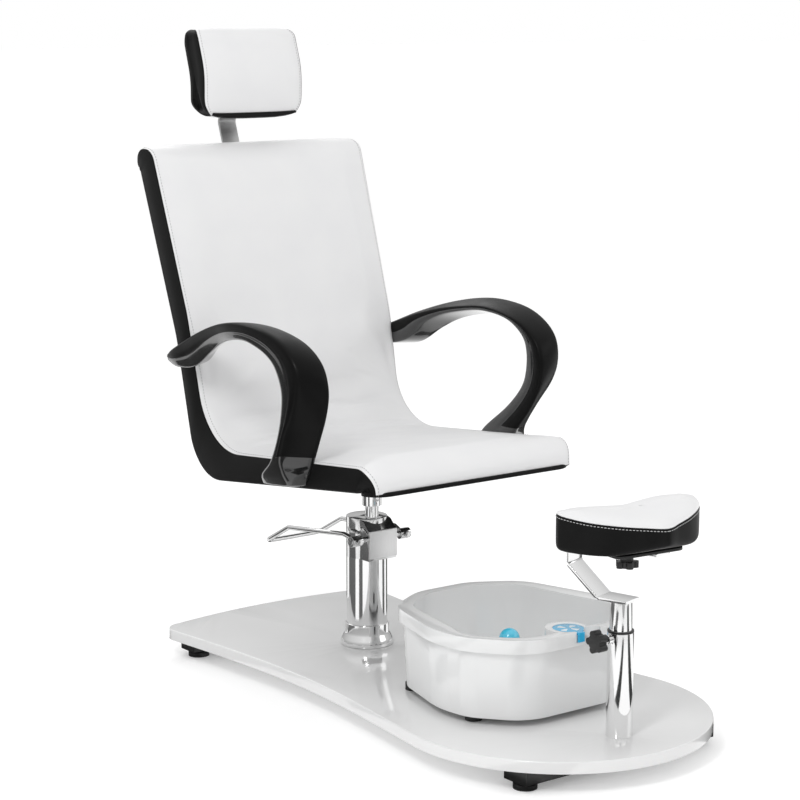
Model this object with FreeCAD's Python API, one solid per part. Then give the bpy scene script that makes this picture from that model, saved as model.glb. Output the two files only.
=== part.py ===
import FreeCAD, Part
import math
import os

# Pedicure chair: an upholstered seat on a hydraulic column, a leg rest on a telescopic post and a
# foot bath, all on one waisted platform.  Millimetres.
#
# Everything is drawn in the column frame: X to the sitter's left, Y to the rear, Z up, with the
# origin on the platform's top face at the axis of the column.  export() then moves each piece so
# that the row's origin is on the floor, below the middle of the whole object.

Vec = FreeCAD.Vector
EAST, REAR, UP = Vec(1, 0, 0), Vec(0, 1, 0), Vec(0, 0, 1)

# ---------------------------------------------------------------- driving dimensions
PLATFORM_TOP = 61.0        # platform's top face above the floor
COLUMN_Y = 190.0           # column's axis behind the row's origin
RUN = 0.05                 # radial clearance of a running fit
GAP = 0.3                  # clearance between bodies that slide on each other

BOARD_T = 22.0
BOARD_REAR_Y, BOARD_REAR_R = 385.0, 1150.0
BOARD_CORNER = (272.0, 318.0)
BOARD_WAIST = (248.0, -130.0)
FRONT_Y, FRONT_R = -582.0, 297.0

CROSS_H, CROSS_WALL = 25.0, 2.0
REAR_TUBE = (283.0, 333.0, 240.0)      # Y from, Y to, half length
FRONT_TUBE = (-774.0, -714.0, 226.0)
RAIL_X, RAIL_W = 95.0, 25.0
FOOT_R, FOOT_T, STUD_R = 22.0, 12.0, 4.0
FOOT_PLACES = {"front_left": (205, -744), "front_right": (-205, -744),
               "rear_left": (215, 308), "rear_right": (-215, 308)}

COLUMN_R, COLUMN_WALL = 42.0, 2.0
HEAD_LOW, HEAD_TOP = 185.0, 268.0
PISTON_R, PISTON_Y, PISTON_LOW, PISTON_TOP = 14.0, -17.0, 8.0, 345.0
CYLINDER_R = 36.0
SHAFT_Y, SHAFT_Z, SHAFT_R = -44.0, 230.0, 6.0
PLATE_W, PLATE_LOW, PLATE_TOP, PLATE_Y = 69.0, 190.0, 247.0, -57.0
PLUNGER_X, PLUNGER_Y, PLUNGER_R, PLUNGER_TOP = 25.0, -24.0, 5.0, 224.2
PEDAL_R, PEDAL_X = 5.0, 68.0

SEAT_HALF, BACK_HALF = 250.0, 265.0    # half widths at the seat and at the top of the back
TAPER_Z, TOP_Z = 450.0, 1003.0
SKIN, FLAT_BAR, PLY = 3.0, 6.0, 12.0
CREASE_R = 125.0
BOARD_END = 980.0                      # top of the back board
# Lower and rear outline of the seat and back in the (Y, Z) plane, with corner radii.
SHELL = [(-350, 396, 0), (-300, 396, 80), (253, 333, 95), (314, 618, 300), (449, 1003, 0)]
# Seam between the black side panels and the white top, from the top of the back to the front.
SEAM = [(449, 1003, 24), (383, 1003, 34), (275, 674, 300), (215, 397, 130), (-349, 449, 42)]
# Crowned face of the pad: rolled top, fuller where the back meets the seat, rounded front.
PAD_TOP = [(379, 1011, 38), (226, 564, 300), (182, 408, CREASE_R), (-358, 463, 46)]

ARM_CROWN, ARM_BOLT_END = 4.0, 278.0
# Left arm, from its foot on the seat to its wing on the back.  Each station has four corners:
# inner and outer edge of the pad's face, then outer and inner edge of the face inside the loop.
ARM_STATIONS = [
    [(244, -148, 391), (284, -138, 393), (284, -66, 384), (244, -52, 382)],
    [(244, -162, 412), (300, -142, 414), (300, -73, 404), (244, -50, 402)],
    [(247, -170, 436), (305, -137, 440), (305, -103, 434), (247, -74, 436)],
    [(258, -206, 488), (314, -166, 492), (314, -141, 487), (258, -134, 486)],
    [(262, -230, 536), (321, -201, 540), (321, -163, 540), (262, -177, 535)],
    [(262, -237, 582), (323, -218, 583), (323, -165, 583), (262, -190, 585)],
    [(262, -221, 625), (323, -213, 628), (323, -144, 621), (262, -182, 627)],
    [(262, -182, 655), (323, -180, 661), (323, -118, 640), (262, -150, 654)],
    [(262, -129, 673), (323, -122, 684), (323, -85, 652), (262, -110, 668)],
    [(262, -55, 683), (322, -42, 692), (322, -42, 660), (262, -50, 673)],
    [(261, 16, 679), (317, 30, 689), (316, 14, 655), (261, 4, 668)],
    [(258, 90, 667), (306, 100, 676), (304, 72, 638), (258, 84, 650)],
    [(252, 165, 649), (297, 168, 656), (295, 122, 609), (252, 148, 620)],
    [(250, 225, 629), (292, 225, 632), (292, 184, 576), (250, 194, 586)],
    [(250, 283, 609), (290, 276, 608), (290, 254, 567), (250, 258, 568)],
    [(252, 314, 594), (282, 304, 593), (282, 298, 576), (252, 306, 576)],
]
BAR_W, BAR_T, BAR_GAP = 42.0, 6.0, 36.0
HEAD_HALF = 124.0

POST_Y, POST_R, POST_IN, POST_TOP = -763.0, 24.0, 22.0, 196.0
TUBE_R, TUBE_WALL, TUBE_TOP = 20.5, 2.0, 249.0
POST_KNOB_Z = 182.0
BRACKET_W, BRACKET_T = 45.0, 6.0
PAD_LOW, PAD_KNOB_Y = 355.5, -773.0
BRACKET_TURN, PAD_TURN = 14.0, -5.0    # how far the bracket and the pad stand turned on the post

BATH_RIM_Z, BATH_RIM_H, BATH_FLOOR = 168.0, 26.0, 45.0
CONTROL_Y, CONTROL_R = -622.0, 29.0
INLET_LOW, INLET_H = 34.0, 22.0


# ---------------------------------------------------------------- helpers
def box(x0, x1, y0, y1, z0, z1):
    return Part.makeBox(x1 - x0, y1 - y0, z1 - z0, Vec(x0, y0, z0))


def rod(radius, start, end):
    start, end = Vec(*start), Vec(*end)
    return Part.makeCylinder(radius, (end - start).Length, start, end - start)


def cone(r0, r1, x, y, z0, z1):
    return Part.makeCone(r0, r1, z1 - z0, Vec(x, y, z0), UP)


def ring(r_out, r_in, x, y, z0, z1):
    return rod(r_out, (x, y, z0), (x, y, z1)).cut(rod(r_in, (x, y, z0), (x, y, z1)))


def fuse(*shapes):
    whole = shapes[0]
    for shape in shapes[1:]:
        whole = whole.fuse(shape)
    return whole.removeSplitter()


def group(*shapes):
    return Part.makeCompound(list(shapes))


def mirror(shape):
    return shape.mirror(Vec(0, 0, 0), EAST)


def path_edges(points, closed):
    """Edges along (point, radius) pairs, with an arc at every corner that has a radius."""
    n, edges, cuts = len(points), [], []
    for i, (p, r) in enumerate(points):
        if r <= 0 or (not closed and i in (0, n - 1)):
            cuts.append((p, None, p))
            continue
        a = (points[i - 1][0] - p).normalize()
        b = (points[(i + 1) % n][0] - p).normalize()
        half = a.getAngle(b) / 2
        reach = r / math.tan(half)
        centre = p + (a + b).normalize() * (r / math.sin(half))
        middle = centre + (p - centre).normalize() * r
        cuts.append((p + a * reach, middle, p + b * reach))
    for i in range(n if closed else n - 1):
        start, end = cuts[i][2], cuts[(i + 1) % n][0]
        if (end - start).Length > 1e-6:
            edges.append(Part.LineSegment(start, end).toShape())
        nxt = cuts[(i + 1) % n]
        if nxt[1] is not None and (closed or i + 1 < n - 1):
            edges.append(Part.Arc(*nxt).toShape())
    return edges


def face_of(edges):
    return Part.Face(Part.Wire(Part.__sortEdges__(edges)))


def side_prism(outline, x0, x1):
    """Extrudes a (Y, Z, radius) outline along X."""
    corners = [(Vec(x0, y, z), r) for y, z, r in outline]
    return face_of(path_edges(corners, True)).extrude(Vec(x1 - x0, 0, 0))


def plan_prism(outline, z0, z1):
    """Extrudes an (X, Y, radius) outline along Z."""
    corners = [(Vec(x, y, z0), r) for x, y, r in outline]
    return face_of(path_edges(corners, True)).extrude(Vec(0, 0, z1 - z0))


def offset_line(line, d):
    """The open (a, b, radius) line moved d to its left, keeping its arcs concentric."""
    moved = []
    for i, (a, b, r) in enumerate(line):
        normals = []
        for j, k in ((i - 1, i), (i, i + 1)):
            if 0 <= j and k < len(line):
                da, db = line[k][0] - line[j][0], line[k][1] - line[j][1]
                size = math.hypot(da, db)
                normals.append((-db / size, da / size))
        (na, nb), (ma, mb) = normals[0], normals[-1]
        share = d / (1 + na * ma + nb * mb)
        turn = na * mb - nb * ma
        if r > 0:
            r = r - d if turn > 0 else r + d
        moved.append((a + (na + ma) * share, b + (nb + mb) * share, r))
    return moved


def band(line, d0, d1):
    """Closed outline between two offsets of an open line."""
    return offset_line(line, d0) + offset_line(line, d1)[::-1]


def sweep_rod(radius, points, bend):
    """A round rod along 3-D points, with bends of one radius."""
    corners = [(Vec(*p), bend) for p in points]
    wire = Part.Wire(path_edges(corners, False))
    first = Vec(*points[1]) - Vec(*points[0])
    section = Part.Wire(Part.makeCircle(radius, Vec(*points[0]), first))
    return wire.makePipeShell([section], True, False)


def turned(shape, angle):
    """The shape turned on the leg rest's post."""
    copy = shape.copy()
    copy.rotate(Vec(0, POST_Y, 0), UP, angle)
    return copy


def hex_bolt(radius, start, end, head, across):
    """A hexagon-headed bolt: its head sits at start, its shank runs to end."""
    start, end = Vec(*start), Vec(*end)
    along = (end - start).normalize()
    side = along.cross(UP if abs(along.z) < 0.9 else EAST).normalize()
    other = along.cross(side)
    corners = []
    for i in range(6):
        angle = math.radians(60 * i)
        arm = (side * math.cos(angle) + other * math.sin(angle)) * across
        corners.append(start - along * head + arm)
    hexagon = Part.Face(Part.makePolygon(corners + corners[:1])).extrude(along * head)
    return fuse(hexagon, Part.makeCylinder(radius, (end - start).Length, start, along))


def star_knob(centre, axis, thickness, hub_r=15.0, lobe_r=6.5, lobes=5):
    """Solid star knob whose lobes stand round an axis."""
    centre, axis = Vec(*centre), Vec(*axis).normalize()
    side = axis.cross(UP if abs(axis.z) < 0.9 else EAST).normalize()
    other = axis.cross(side)
    low = centre - axis * (thickness / 2)
    whole = Part.makeCylinder(hub_r, thickness, low, axis)
    for i in range(lobes):
        angle = 2 * math.pi * i / lobes
        at = low + (side * math.cos(angle) + other * math.sin(angle)) * hub_r
        whole = whole.fuse(Part.makeCylinder(lobe_r, thickness, at, axis))
    return whole.removeSplitter()


def export(name, shape):
    moved = shape.copy()
    moved.translate(Vec(0, COLUMN_Y, PLATFORM_TOP))
    if not moved.isValid():
        print("invalid shape:", name)
    moved.exportStep("parts/" + name + ".step")


# ---------------------------------------------------------------- platform
def board_outline():
    """Waisted plan: round front, hollow sides and a gently bowed rear."""
    corner_x, corner_y = BOARD_CORNER
    join_angle = math.radians(8)
    join = Vec(FRONT_R * math.cos(join_angle), FRONT_Y + FRONT_R * math.sin(join_angle), 0)
    join_way = Vec(math.sin(join_angle), -math.cos(join_angle), 0)
    rear_x = corner_x - 40
    rear_y = BOARD_REAR_Y - BOARD_REAR_R + math.sqrt(BOARD_REAR_R ** 2 - rear_x ** 2)
    start = Vec(corner_x, corner_y, 0)
    waist = Vec(BOARD_WAIST[0], BOARD_WAIST[1], 0)
    side = Part.BSplineCurve()
    side.interpolate(Points=[start, waist, join], InitialTangent=Vec(-0.1, -1, 0) * 300,
                     FinalTangent=join_way * 300)
    corner = Part.Arc(Vec(rear_x, rear_y, 0), Vec(corner_x - 9, corner_y + 29, 0), start)
    right = [corner.toShape(), side.toShape()]
    left = [mirror(e) for e in right]
    rear = Part.Arc(Vec(-rear_x, rear_y, 0), Vec(0, BOARD_REAR_Y, 0), Vec(rear_x, rear_y, 0))
    mirrored = Vec(-join.x, join.y, 0)
    front = Part.Arc(join, Vec(0, FRONT_Y - FRONT_R, 0), mirrored)
    return [rear.toShape(), front.toShape()] + right + left


def platform_board():
    board = face_of(board_outline()).extrude(Vec(0, 0, -BOARD_T))
    board = board.makeFillet(2.5, [e for e in board.Edges if abs(e.BoundBox.ZMax) < 0.01
                                   and abs(e.BoundBox.ZMin) < 0.01])
    board = board.cut(rod(CYLINDER_R, (0, 0, -BOARD_T), (0, 0, 0)))
    return board.cut(rod(6, (0, POST_Y, -BOARD_T), (0, POST_Y, 0)))


def cross_tube(place, holes):
    y0, y1, half = place
    top, low, wall = -BOARD_T, -BOARD_T - CROSS_H, CROSS_WALL
    tube = box(-half, half, y0, y1, low, top)
    tube = tube.cut(box(-half, half, y0 + wall, y1 - wall, low + wall, top - wall))
    for x, y, r in holes:
        tube = tube.cut(rod(r, (x, y, low), (x, y, top)))
    return tube


def foot_holes(end):
    low = STUD_R + RUN
    return [(x, y, low) for name, (x, y) in FOOT_PLACES.items() if name.startswith(end)]


def frame_rails():
    """Two rails that join the cross tubes under the board."""
    top, low, wall = -BOARD_T, -BOARD_T - CROSS_H, CROSS_WALL
    y0, y1 = FRONT_TUBE[1], REAR_TUBE[0]
    x0, x1 = RAIL_X - RAIL_W / 2, RAIL_X + RAIL_W / 2
    rail = box(x0, x1, y0, y1, low, top)
    rail = rail.cut(box(x0 + wall, x1 - wall, y0, y1, low + wall, top - wall))
    return group(rail, mirror(rail))


def tube_end_caps():
    """Plastic plugs pressed into the ends of the cross tubes."""
    caps = []
    for y0, y1, half in (REAR_TUBE, FRONT_TUBE):
        low, top, wall = -BOARD_T - CROSS_H, -BOARD_T, CROSS_WALL
        flange = box(half, half + 3, y0, y1, low, top)
        plug = box(half - 12, half, y0 + wall, y1 - wall, low + wall, top - wall)
        cap = fuse(flange, plug)
        caps += [cap, mirror(cap)]
    return group(*caps)


def board_screws():
    """Countersunk screws that hold the board down on both cross tubes."""
    screws = []
    for y in (REAR_TUBE[0] + 25, FRONT_TUBE[0] + 42):
        for x in (-150, -50, 50, 150):
            low = -BOARD_T - CROSS_WALL
            screws.append(fuse(rod(2, (x, y, low), (x, y, -8)), cone(4.5, 2, x, y, low - 3, low)))
    return group(*screws)


def screw_holes(shape):
    return shape.cut(group(*[s for s in board_screws().Solids]))


def pump_base_plate():
    """Steel plate welded between the rails, which carries the pump."""
    half = RAIL_X - RAIL_W / 2
    plate = box(-half, half, -100, 100, -BOARD_T - 8, -BOARD_T)
    for x, y in BOLT_PLACES:
        plate = plate.cut(rod(5, (x, y, -BOARD_T - 8), (x, y, -BOARD_T)))
    return plate


BOLT_PLACES = [(24, 8), (-24, 8), (24, -8), (-24, -8)]


def pump_base_bolts():
    low, high = -BOARD_T - 8, -BOARD_T + 16
    return group(*[hex_bolt(5, (x, y, low), (x, y, high), 6, 8) for x, y in BOLT_PLACES])


def levelling_foot(x, y):
    """Moulded foot with its steel stud standing in the cross tube."""
    low, top = -PLATFORM_TOP, -PLATFORM_TOP + FOOT_T
    disc = fuse(rod(FOOT_R, (x, y, low), (x, y, top - 3)),
                cone(FOOT_R, FOOT_R - 4, x, y, top - 3, top))
    return fuse(disc, rod(STUD_R, (x, y, low + 4), (x, y, -BOARD_T - 5)))


# ---------------------------------------------------------------- pump and pedal
def base_escutcheon():
    """Bell-shaped ring that hides the foot of the column."""
    outer = fuse(rod(54, (0, 0, 0), (0, 0, 9)), cone(54, 45.5, 0, 0, 9, 27),
                 rod(45.5, (0, 0, 27), (0, 0, 45)))
    return outer.cut(rod(COLUMN_R, (0, 0, 0), (0, 0, 45)))


def hydraulic_cylinder():
    body = rod(CYLINDER_R, (0, 0, -BOARD_T), (0, 0, HEAD_LOW))
    body = body.cut(rod(PISTON_R + 1, (0, PISTON_Y, 4), (0, PISTON_Y, HEAD_LOW)))
    for x, y in BOLT_PLACES:
        body = body.cut(rod(5, (x, y, -BOARD_T), (x, y, -BOARD_T + 16)))
    return body


def pump_head():
    """Cast head: a round barrel with a box front, bored for the piston, shaft and plunger."""
    barrel = rod(COLUMN_R, (0, 0, HEAD_LOW), (0, 0, HEAD_TOP))
    half, plate_back = PLATE_W / 2, PLATE_Y + 4
    front = side_prism([(0, HEAD_LOW, 0), (plate_back, HEAD_LOW, 0), (plate_back, PLATE_TOP, 0),
                        (plate_back + 18, HEAD_TOP - 4, 6), (-20, HEAD_TOP, 0), (0, HEAD_TOP, 0)],
                       -half, half)
    head = fuse(barrel, front)
    head = head.cut(rod(PISTON_R + RUN, (0, PISTON_Y, HEAD_LOW), (0, PISTON_Y, HEAD_TOP)))
    head = head.cut(rod(SHAFT_R + RUN, (-60, SHAFT_Y, SHAFT_Z), (60, SHAFT_Y, SHAFT_Z)))
    pocket = box(PLUNGER_X - 6, PLUNGER_X + 6, plate_back, -13, 212, 241)
    head = head.cut(pocket)
    well = rod(PLUNGER_R + RUN, (PLUNGER_X, PLUNGER_Y, 189), (PLUNGER_X, PLUNGER_Y, 214))
    return head.cut(well)


def head_front_plate():
    half = PLATE_W / 2
    return box(-half, half, PLATE_Y, PLATE_Y + 4, PLATE_LOW, PLATE_TOP)


def pump_plunger():
    """Plunger that the finger on the pedal shaft drives down."""
    return rod(PLUNGER_R, (PLUNGER_X, PLUNGER_Y, 198), (PLUNGER_X, PLUNGER_Y, PLUNGER_TOP))


def pedal_shaft():
    shaft = rod(SHAFT_R, (-74, SHAFT_Y, SHAFT_Z), (74, SHAFT_Y, SHAFT_Z))
    finger = box(PLUNGER_X - 4, PLUNGER_X + 4, SHAFT_Y, PLUNGER_Y + 5, SHAFT_Z - 4, SHAFT_Z + 4)
    return fuse(shaft, finger)


def pedal_collar():
    x0, x1 = 48, 73
    collar = rod(11, (x0, SHAFT_Y, SHAFT_Z), (x1, SHAFT_Y, SHAFT_Z))
    return collar.cut(rod(SHAFT_R, (x0, SHAFT_Y, SHAFT_Z), (x1, SHAFT_Y, SHAFT_Z)))


def pedal_loop():
    """Bent rod: two arms run back beside the column to the foot bar behind the chair."""
    half = [(PEDAL_X - 8, SHAFT_Y + 9, SHAFT_Z + 2), (PEDAL_X - 4, -10, 239),
            (PEDAL_X, 183, 218), (PEDAL_X, 266, 174)]
    points = half + [(-x, y, z) for x, y, z in half[::-1]]
    loop = sweep_rod(PEDAL_R, points, 16)
    collars = fuse(rod(11, (46, SHAFT_Y, SHAFT_Z), (74, SHAFT_Y, SHAFT_Z)),
                   rod(11, (-74, SHAFT_Y, SHAFT_Z), (-46, SHAFT_Y, SHAFT_Z)))
    return loop.cut(collars)


def pedal_set_screws():
    """Hexagon screws that clamp the two collars to the shaft."""
    y = SHAFT_Y - 11
    screw = hex_bolt(4, (60.5, y, SHAFT_Z), (60.5, SHAFT_Y - SHAFT_R, SHAFT_Z), 5, 7)
    return group(screw, mirror(screw))


def lift_piston():
    return rod(PISTON_R, (0, PISTON_Y, PISTON_LOW), (0, PISTON_Y, PISTON_TOP))


# ---------------------------------------------------------------- seat and back
def envelope(inset):
    """The seat unit's front view: straight at the seat, widening up the back."""
    low, high = SEAT_HALF - inset, BACK_HALF + 0.6 - inset
    outline = [(low, 300), (low, TAPER_Z), (high, 1025), (-high, 1025), (-low, TAPER_Z), (-low, 300)]
    corners = [Vec(x, -420, z) for x, z in outline]
    return Part.Face(Part.makePolygon(corners + corners[:1])).extrude(Vec(0, 1000, 0))


def side_panels():
    outline = SHELL[:-1] + SEAM
    outline[0] = (-350, 396, 4)
    slab = side_prism(outline, -290, 290)
    shell = slab.common(envelope(0)).cut(envelope(SKIN))
    return group(*shell.Solids)


def rear_cover():
    return side_prism(band(SHELL, 0, SKIN), -290, 290).common(envelope(SKIN))


def seat_back_pad():
    """Foam and white cover over the boards, standing a little proud of the side seams."""
    over_boards = offset_line(SHELL, SKIN + FLAT_BAR + PLY)
    front = [(-358, 399, 0), (-338, 399, 0), (-338, 417, 0)]
    over_top = [(419, BOARD_END + 1, 0), (438, BOARD_END + 1, 0), (446, 1006, 18)]
    outline = front + over_boards[1:-1] + over_top + PAD_TOP
    pad = side_prism(outline, -290, 290).common(envelope(SKIN))
    for side in (1, -1):
        for y, z in ARM_BOLTS:
            pad = pad.cut(rod(9, (side * 215, y, z), (side * 260, y, z)))
    return pad


def strip(line, d0, d1, keep, half):
    return side_prism(band(line, d0, d1), -half, half).common(keep)


def seat_board():
    d0 = SKIN + FLAT_BAR
    board = strip(SHELL, d0, d0 + PLY, box(-300, 300, -335, 150, 300, 460), 244)
    for x, y in MOUNT_BOLTS:
        board = board.cut(rod(4, (x, y, 300), (x, y, 460)))
    return board


def back_board():
    d0 = SKIN + FLAT_BAR
    return strip(SHELL, d0, d0 + PLY, box(-300, 300, 200, 520, 470, BOARD_END), 244)


def seat_frame_bars():
    """Two bent flat bars that join the seat board to the back board."""
    keep = box(-300, 300, -230, 520, 300, 900)
    both = strip(SHELL, SKIN, SKIN + FLAT_BAR, keep, 300)
    left = both.common(box(150, 190, -400, 600, 250, 1100))
    return group(left, mirror(left))


SLOPE = (333 - 396) / (253 + 300)
MOUNT_BOLTS = [(90, -95), (-90, -95), (90, 70), (-90, 70)]
ARM_BOLTS = [(-124, 410), (-86, 408), (262, 593)]


def underside(y):
    """Height of the seat's underside above the platform at a place behind the column."""
    return 396 + SLOPE * (y + 300)


def seat_mount_plate():
    """Plate under the seat with the socket that drops on the piston."""
    y0, y1 = -120, 95
    outline = [(y0, underside(y0), 0), (y0, underside(y0) - 6, 0),
               (y1, underside(y1) - 6, 0), (y1, underside(y1), 0)]
    plate = side_prism(outline, -110, 110)
    for x, y in MOUNT_BOLTS:
        plate = plate.cut(rod(4, (x, y, 300), (x, y, 460)))
    return plate


def seat_socket():
    socket = rod(20, (0, PISTON_Y, 293), (0, PISTON_Y, 380))
    above = [(-60, underside(-60) - 6, 0), (30, underside(30) - 6, 0), (30, 400, 0), (-60, 400, 0)]
    socket = socket.cut(side_prism(above, -40, 40))
    socket = socket.cut(rod(PISTON_R + RUN, (0, PISTON_Y, 293), (0, PISTON_Y, PISTON_TOP + 1)))
    return socket.cut(rod(3, (0, PISTON_Y - 30, 306), (0, PISTON_Y, 306)))


def socket_set_screw():
    return rod(3, (0, PISTON_Y - 19, 306), (0, PISTON_Y - PISTON_R - 0.2, 306))


def seat_mount_bolts():
    bolts = []
    for x, y in MOUNT_BOLTS:
        low = underside(y) - 6 - abs(SLOPE) * 8
        bolts.append(hex_bolt(4, (x, y, low), (x, y, underside(y) + 16), 5.5, 7.5))
    return bolts


def arm_section(station):
    """Flat closed section near a station's four corners, crowned on its outer face."""
    corners = [Vec(*corner) for corner in station]
    middle = (corners[0] + corners[1] + corners[2] + corners[3]) * 0.25
    normal = (corners[2] - corners[0]).cross(corners[3] - corners[1]).normalize()
    corners = [corner - normal * (corner - middle).dot(normal) for corner in corners]
    points = []
    for i, start in enumerate(corners):
        end = corners[(i + 1) % 4]
        half_way = (start + end) * 0.5
        if i == 0:
            half_way = half_way + (half_way - middle).normalize() * ARM_CROWN
        points += [start + (end - start) * 0.2, half_way, start + (end - start) * 0.8]
    curve = Part.BSplineCurve()
    curve.interpolate(Points=points, PeriodicFlag=True)
    return Part.Wire([curve.toShape()])


def armrest():
    """Left arm: a broad band that leaves the seat's side, bows round and lands on the back."""
    arm = Part.makeLoft([arm_section(s) for s in ARM_STATIONS], True)
    arm = arm.cut(envelope(0))
    for y, z in ARM_BOLTS:
        arm = arm.cut(rod(4, (200, y, z), (ARM_BOLT_END, y, z)))
    return arm


def arm_bolts():
    bolts = []
    for y, z in ARM_BOLTS:
        bolt = hex_bolt(4, (232, y, z), (ARM_BOLT_END, y, z), 5.5, 7.5)
        bolts += [bolt, mirror(bolt)]
    return bolts


def side_bolt_holes(shape):
    for y, z in ARM_BOLTS:
        shape = shape.cut(rod(4, (-300, y, z), (300, y, z)))
    return shape


# ---------------------------------------------------------------- headrest
BACK_FOOT, BACK_HEAD = Vec(0, 314, 618), Vec(0, 449, 1003)
LEAN = (BACK_HEAD - BACK_FOOT).normalize()
OUT = Vec(0, LEAN.z, -LEAN.y)


def back_point(up, out, x=0):
    """A point out from the back's rear face, that far up along it."""
    return BACK_FOOT + LEAN * up + OUT * out + Vec(x, 0, 0)


def leaning_box(half_x, out0, out1, up0, up1):
    corners = [back_point(u, o, -half_x) for u, o in
               ((up0, out0), (up1, out0), (up1, out1), (up0, out1))]
    return Part.Face(Part.makePolygon(corners + corners[:1])).extrude(Vec(2 * half_x, 0, 0))


SLEEVE_LOW, SLEEVE_TOP = 225.0, 320.0


def headrest_sleeve():
    """Channel on the back's rear with a slot that guides the headrest's flat bar."""
    depth = BAR_GAP + BAR_T + 8
    sleeve = leaning_box(36, 0, depth, SLEEVE_LOW, SLEEVE_TOP)
    sleeve = sleeve.cut(leaning_box(27, 5, BAR_GAP - 5, SLEEVE_LOW, SLEEVE_TOP))
    slot = leaning_box(BAR_W / 2 + GAP, BAR_GAP - GAP, BAR_GAP + BAR_T + GAP, SLEEVE_LOW, SLEEVE_TOP)
    sleeve = sleeve.cut(slot)
    nut = Part.makeCylinder(12, 10, back_point(272, depth), OUT)
    sleeve = fuse(sleeve, nut)
    for x, up in SLEEVE_SCREWS:
        sleeve = sleeve.cut(Part.makeCylinder(3, 8, back_point(up, -1, x), OUT))
    return sleeve.cut(Part.makeCylinder(4 + RUN, 40, back_point(272, BAR_GAP + BAR_T), OUT))


SLEEVE_SCREWS = [(-18, 240), (18, 240), (-18, 305), (18, 305)]


def sleeve_screws():
    """Pan-head screws through the sleeve's foot into the back board."""
    screws = []
    for x, up in SLEEVE_SCREWS:
        head = Part.makeCylinder(5.5, 3.5, back_point(up, 5, x), OUT)
        screws.append(fuse(head, Part.makeCylinder(3, 5, back_point(up, 0, x), OUT)))
    return group(*screws)


def headrest_bar():
    """Flat bar behind the back, joggled forward to the headrest's board."""
    mid = BAR_GAP + BAR_T / 2
    foot, knee = back_point(140, mid), back_point(470, mid)
    line = [(foot.y, foot.z, 0), (knee.y, knee.z, 14), (470, 1108, 14), (472, 1195, 0)]
    return side_prism(band(line, -BAR_T / 2, BAR_T / 2), -BAR_W / 2, BAR_W / 2)


HEAD_SIDE = [(396, 1062, 14), (436, 1060, 16), (456, 1086, 30), (456, 1142, 150), (479, 1216, 40),
             (472, 1248, 16), (424, 1248, 32), (394, 1160, 160)]


def headrest_board():
    outline = [(452, 1082, 0), (457, 1100, 0), (462, 1140, 0), (472, 1168, 0), (472, 1205, 0),
               (460, 1205, 0), (446, 1140, 0), (442, 1082, 0)]
    board = side_prism(outline, -100, 100)
    return board.cut(headrest_bar())


def headrest_pad():
    pad = side_prism(HEAD_SIDE, -HEAD_HALF + SKIN, HEAD_HALF - SKIN)
    return pad.cut(headrest_board()).cut(headrest_bar()).cut(bar_room())


def bar_room():
    """Room behind the pad for the bar's upper end."""
    return box(-BAR_W / 2 - 1, BAR_W / 2 + 1, 458, 500, 1080, 1205)


def headrest_side_panels():
    panel = side_prism(HEAD_SIDE, HEAD_HALF - SKIN, HEAD_HALF)
    return group(panel, mirror(panel))


def headrest_knob():
    depth = BAR_GAP + BAR_T + GAP
    stud = Part.makeCylinder(4, 34, back_point(272, depth), OUT)
    centre = back_point(272, BAR_GAP + BAR_T + 40)
    return fuse(star_knob(centre, OUT, 16), stud)


# ---------------------------------------------------------------- leg rest
def leg_post_tube():
    """Chromed post with a threaded plug welded in its foot and a nut welded in its side."""
    post = rod(POST_R, (0, POST_Y, 0), (0, POST_Y, POST_TOP - 4))
    post = post.fuse(rod(8, (-POST_R - 9, POST_Y, POST_KNOB_Z), (0, POST_Y, POST_KNOB_Z)))
    post = post.cut(rod(POST_IN, (0, POST_Y, 14), (0, POST_Y, POST_TOP)))
    post = post.cut(rod(6, (0, POST_Y, 0), (0, POST_Y, 14)))
    return post.cut(rod(4 + RUN, (-60, POST_Y, POST_KNOB_Z), (0, POST_Y, POST_KNOB_Z)))


def post_fixing_bolt():
    low = -BOARD_T - CROSS_H
    return hex_bolt(6, (0, POST_Y, low), (0, POST_Y, 12), 7, 9)


def post_guide_bush():
    """Plastic collar at the post's mouth, in which the inner tube runs."""
    top = ring(POST_R, TUBE_R + RUN, 0, POST_Y, POST_TOP - 4, POST_TOP)
    sleeve = ring(POST_IN, TUBE_R + RUN, 0, POST_Y, POST_TOP - 40, POST_TOP - 4)
    bush = fuse(top, sleeve)
    return bush.cut(rod(4 + RUN, (-40, POST_Y, POST_KNOB_Z), (0, POST_Y, POST_KNOB_Z)))


def post_knob():
    tip = TUBE_R + GAP
    stud = rod(4, (-50, POST_Y, POST_KNOB_Z), (-tip, POST_Y, POST_KNOB_Z))
    return fuse(star_knob((-56, POST_Y, POST_KNOB_Z), (-1, 0, 0), 17), stud)


def leg_tube_glide():
    """Nylon glide that centres the inner tube's lower end and lets it turn."""
    glide = ring(POST_IN - RUN, TUBE_R - TUBE_WALL - 2, 0, POST_Y, 22, 26)
    neck = ring(TUBE_R - TUBE_WALL - RUN, TUBE_R - TUBE_WALL - 2, 0, POST_Y, 26, 40)
    return fuse(glide, neck)


def leg_inner_tube():
    inner = ring(TUBE_R, TUBE_R - TUBE_WALL, 0, POST_Y, 26 + GAP, TUBE_TOP - 4)
    cap = rod(TUBE_R, (0, POST_Y, TUBE_TOP - 4), (0, POST_Y, TUBE_TOP))
    return fuse(inner, cap)


BRACKET_LINE = [(-787, 252, 0), (-724, 252, 10), (-660, 305, 10), (-660, 347, 10), (-848, 347, 0)]


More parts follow.
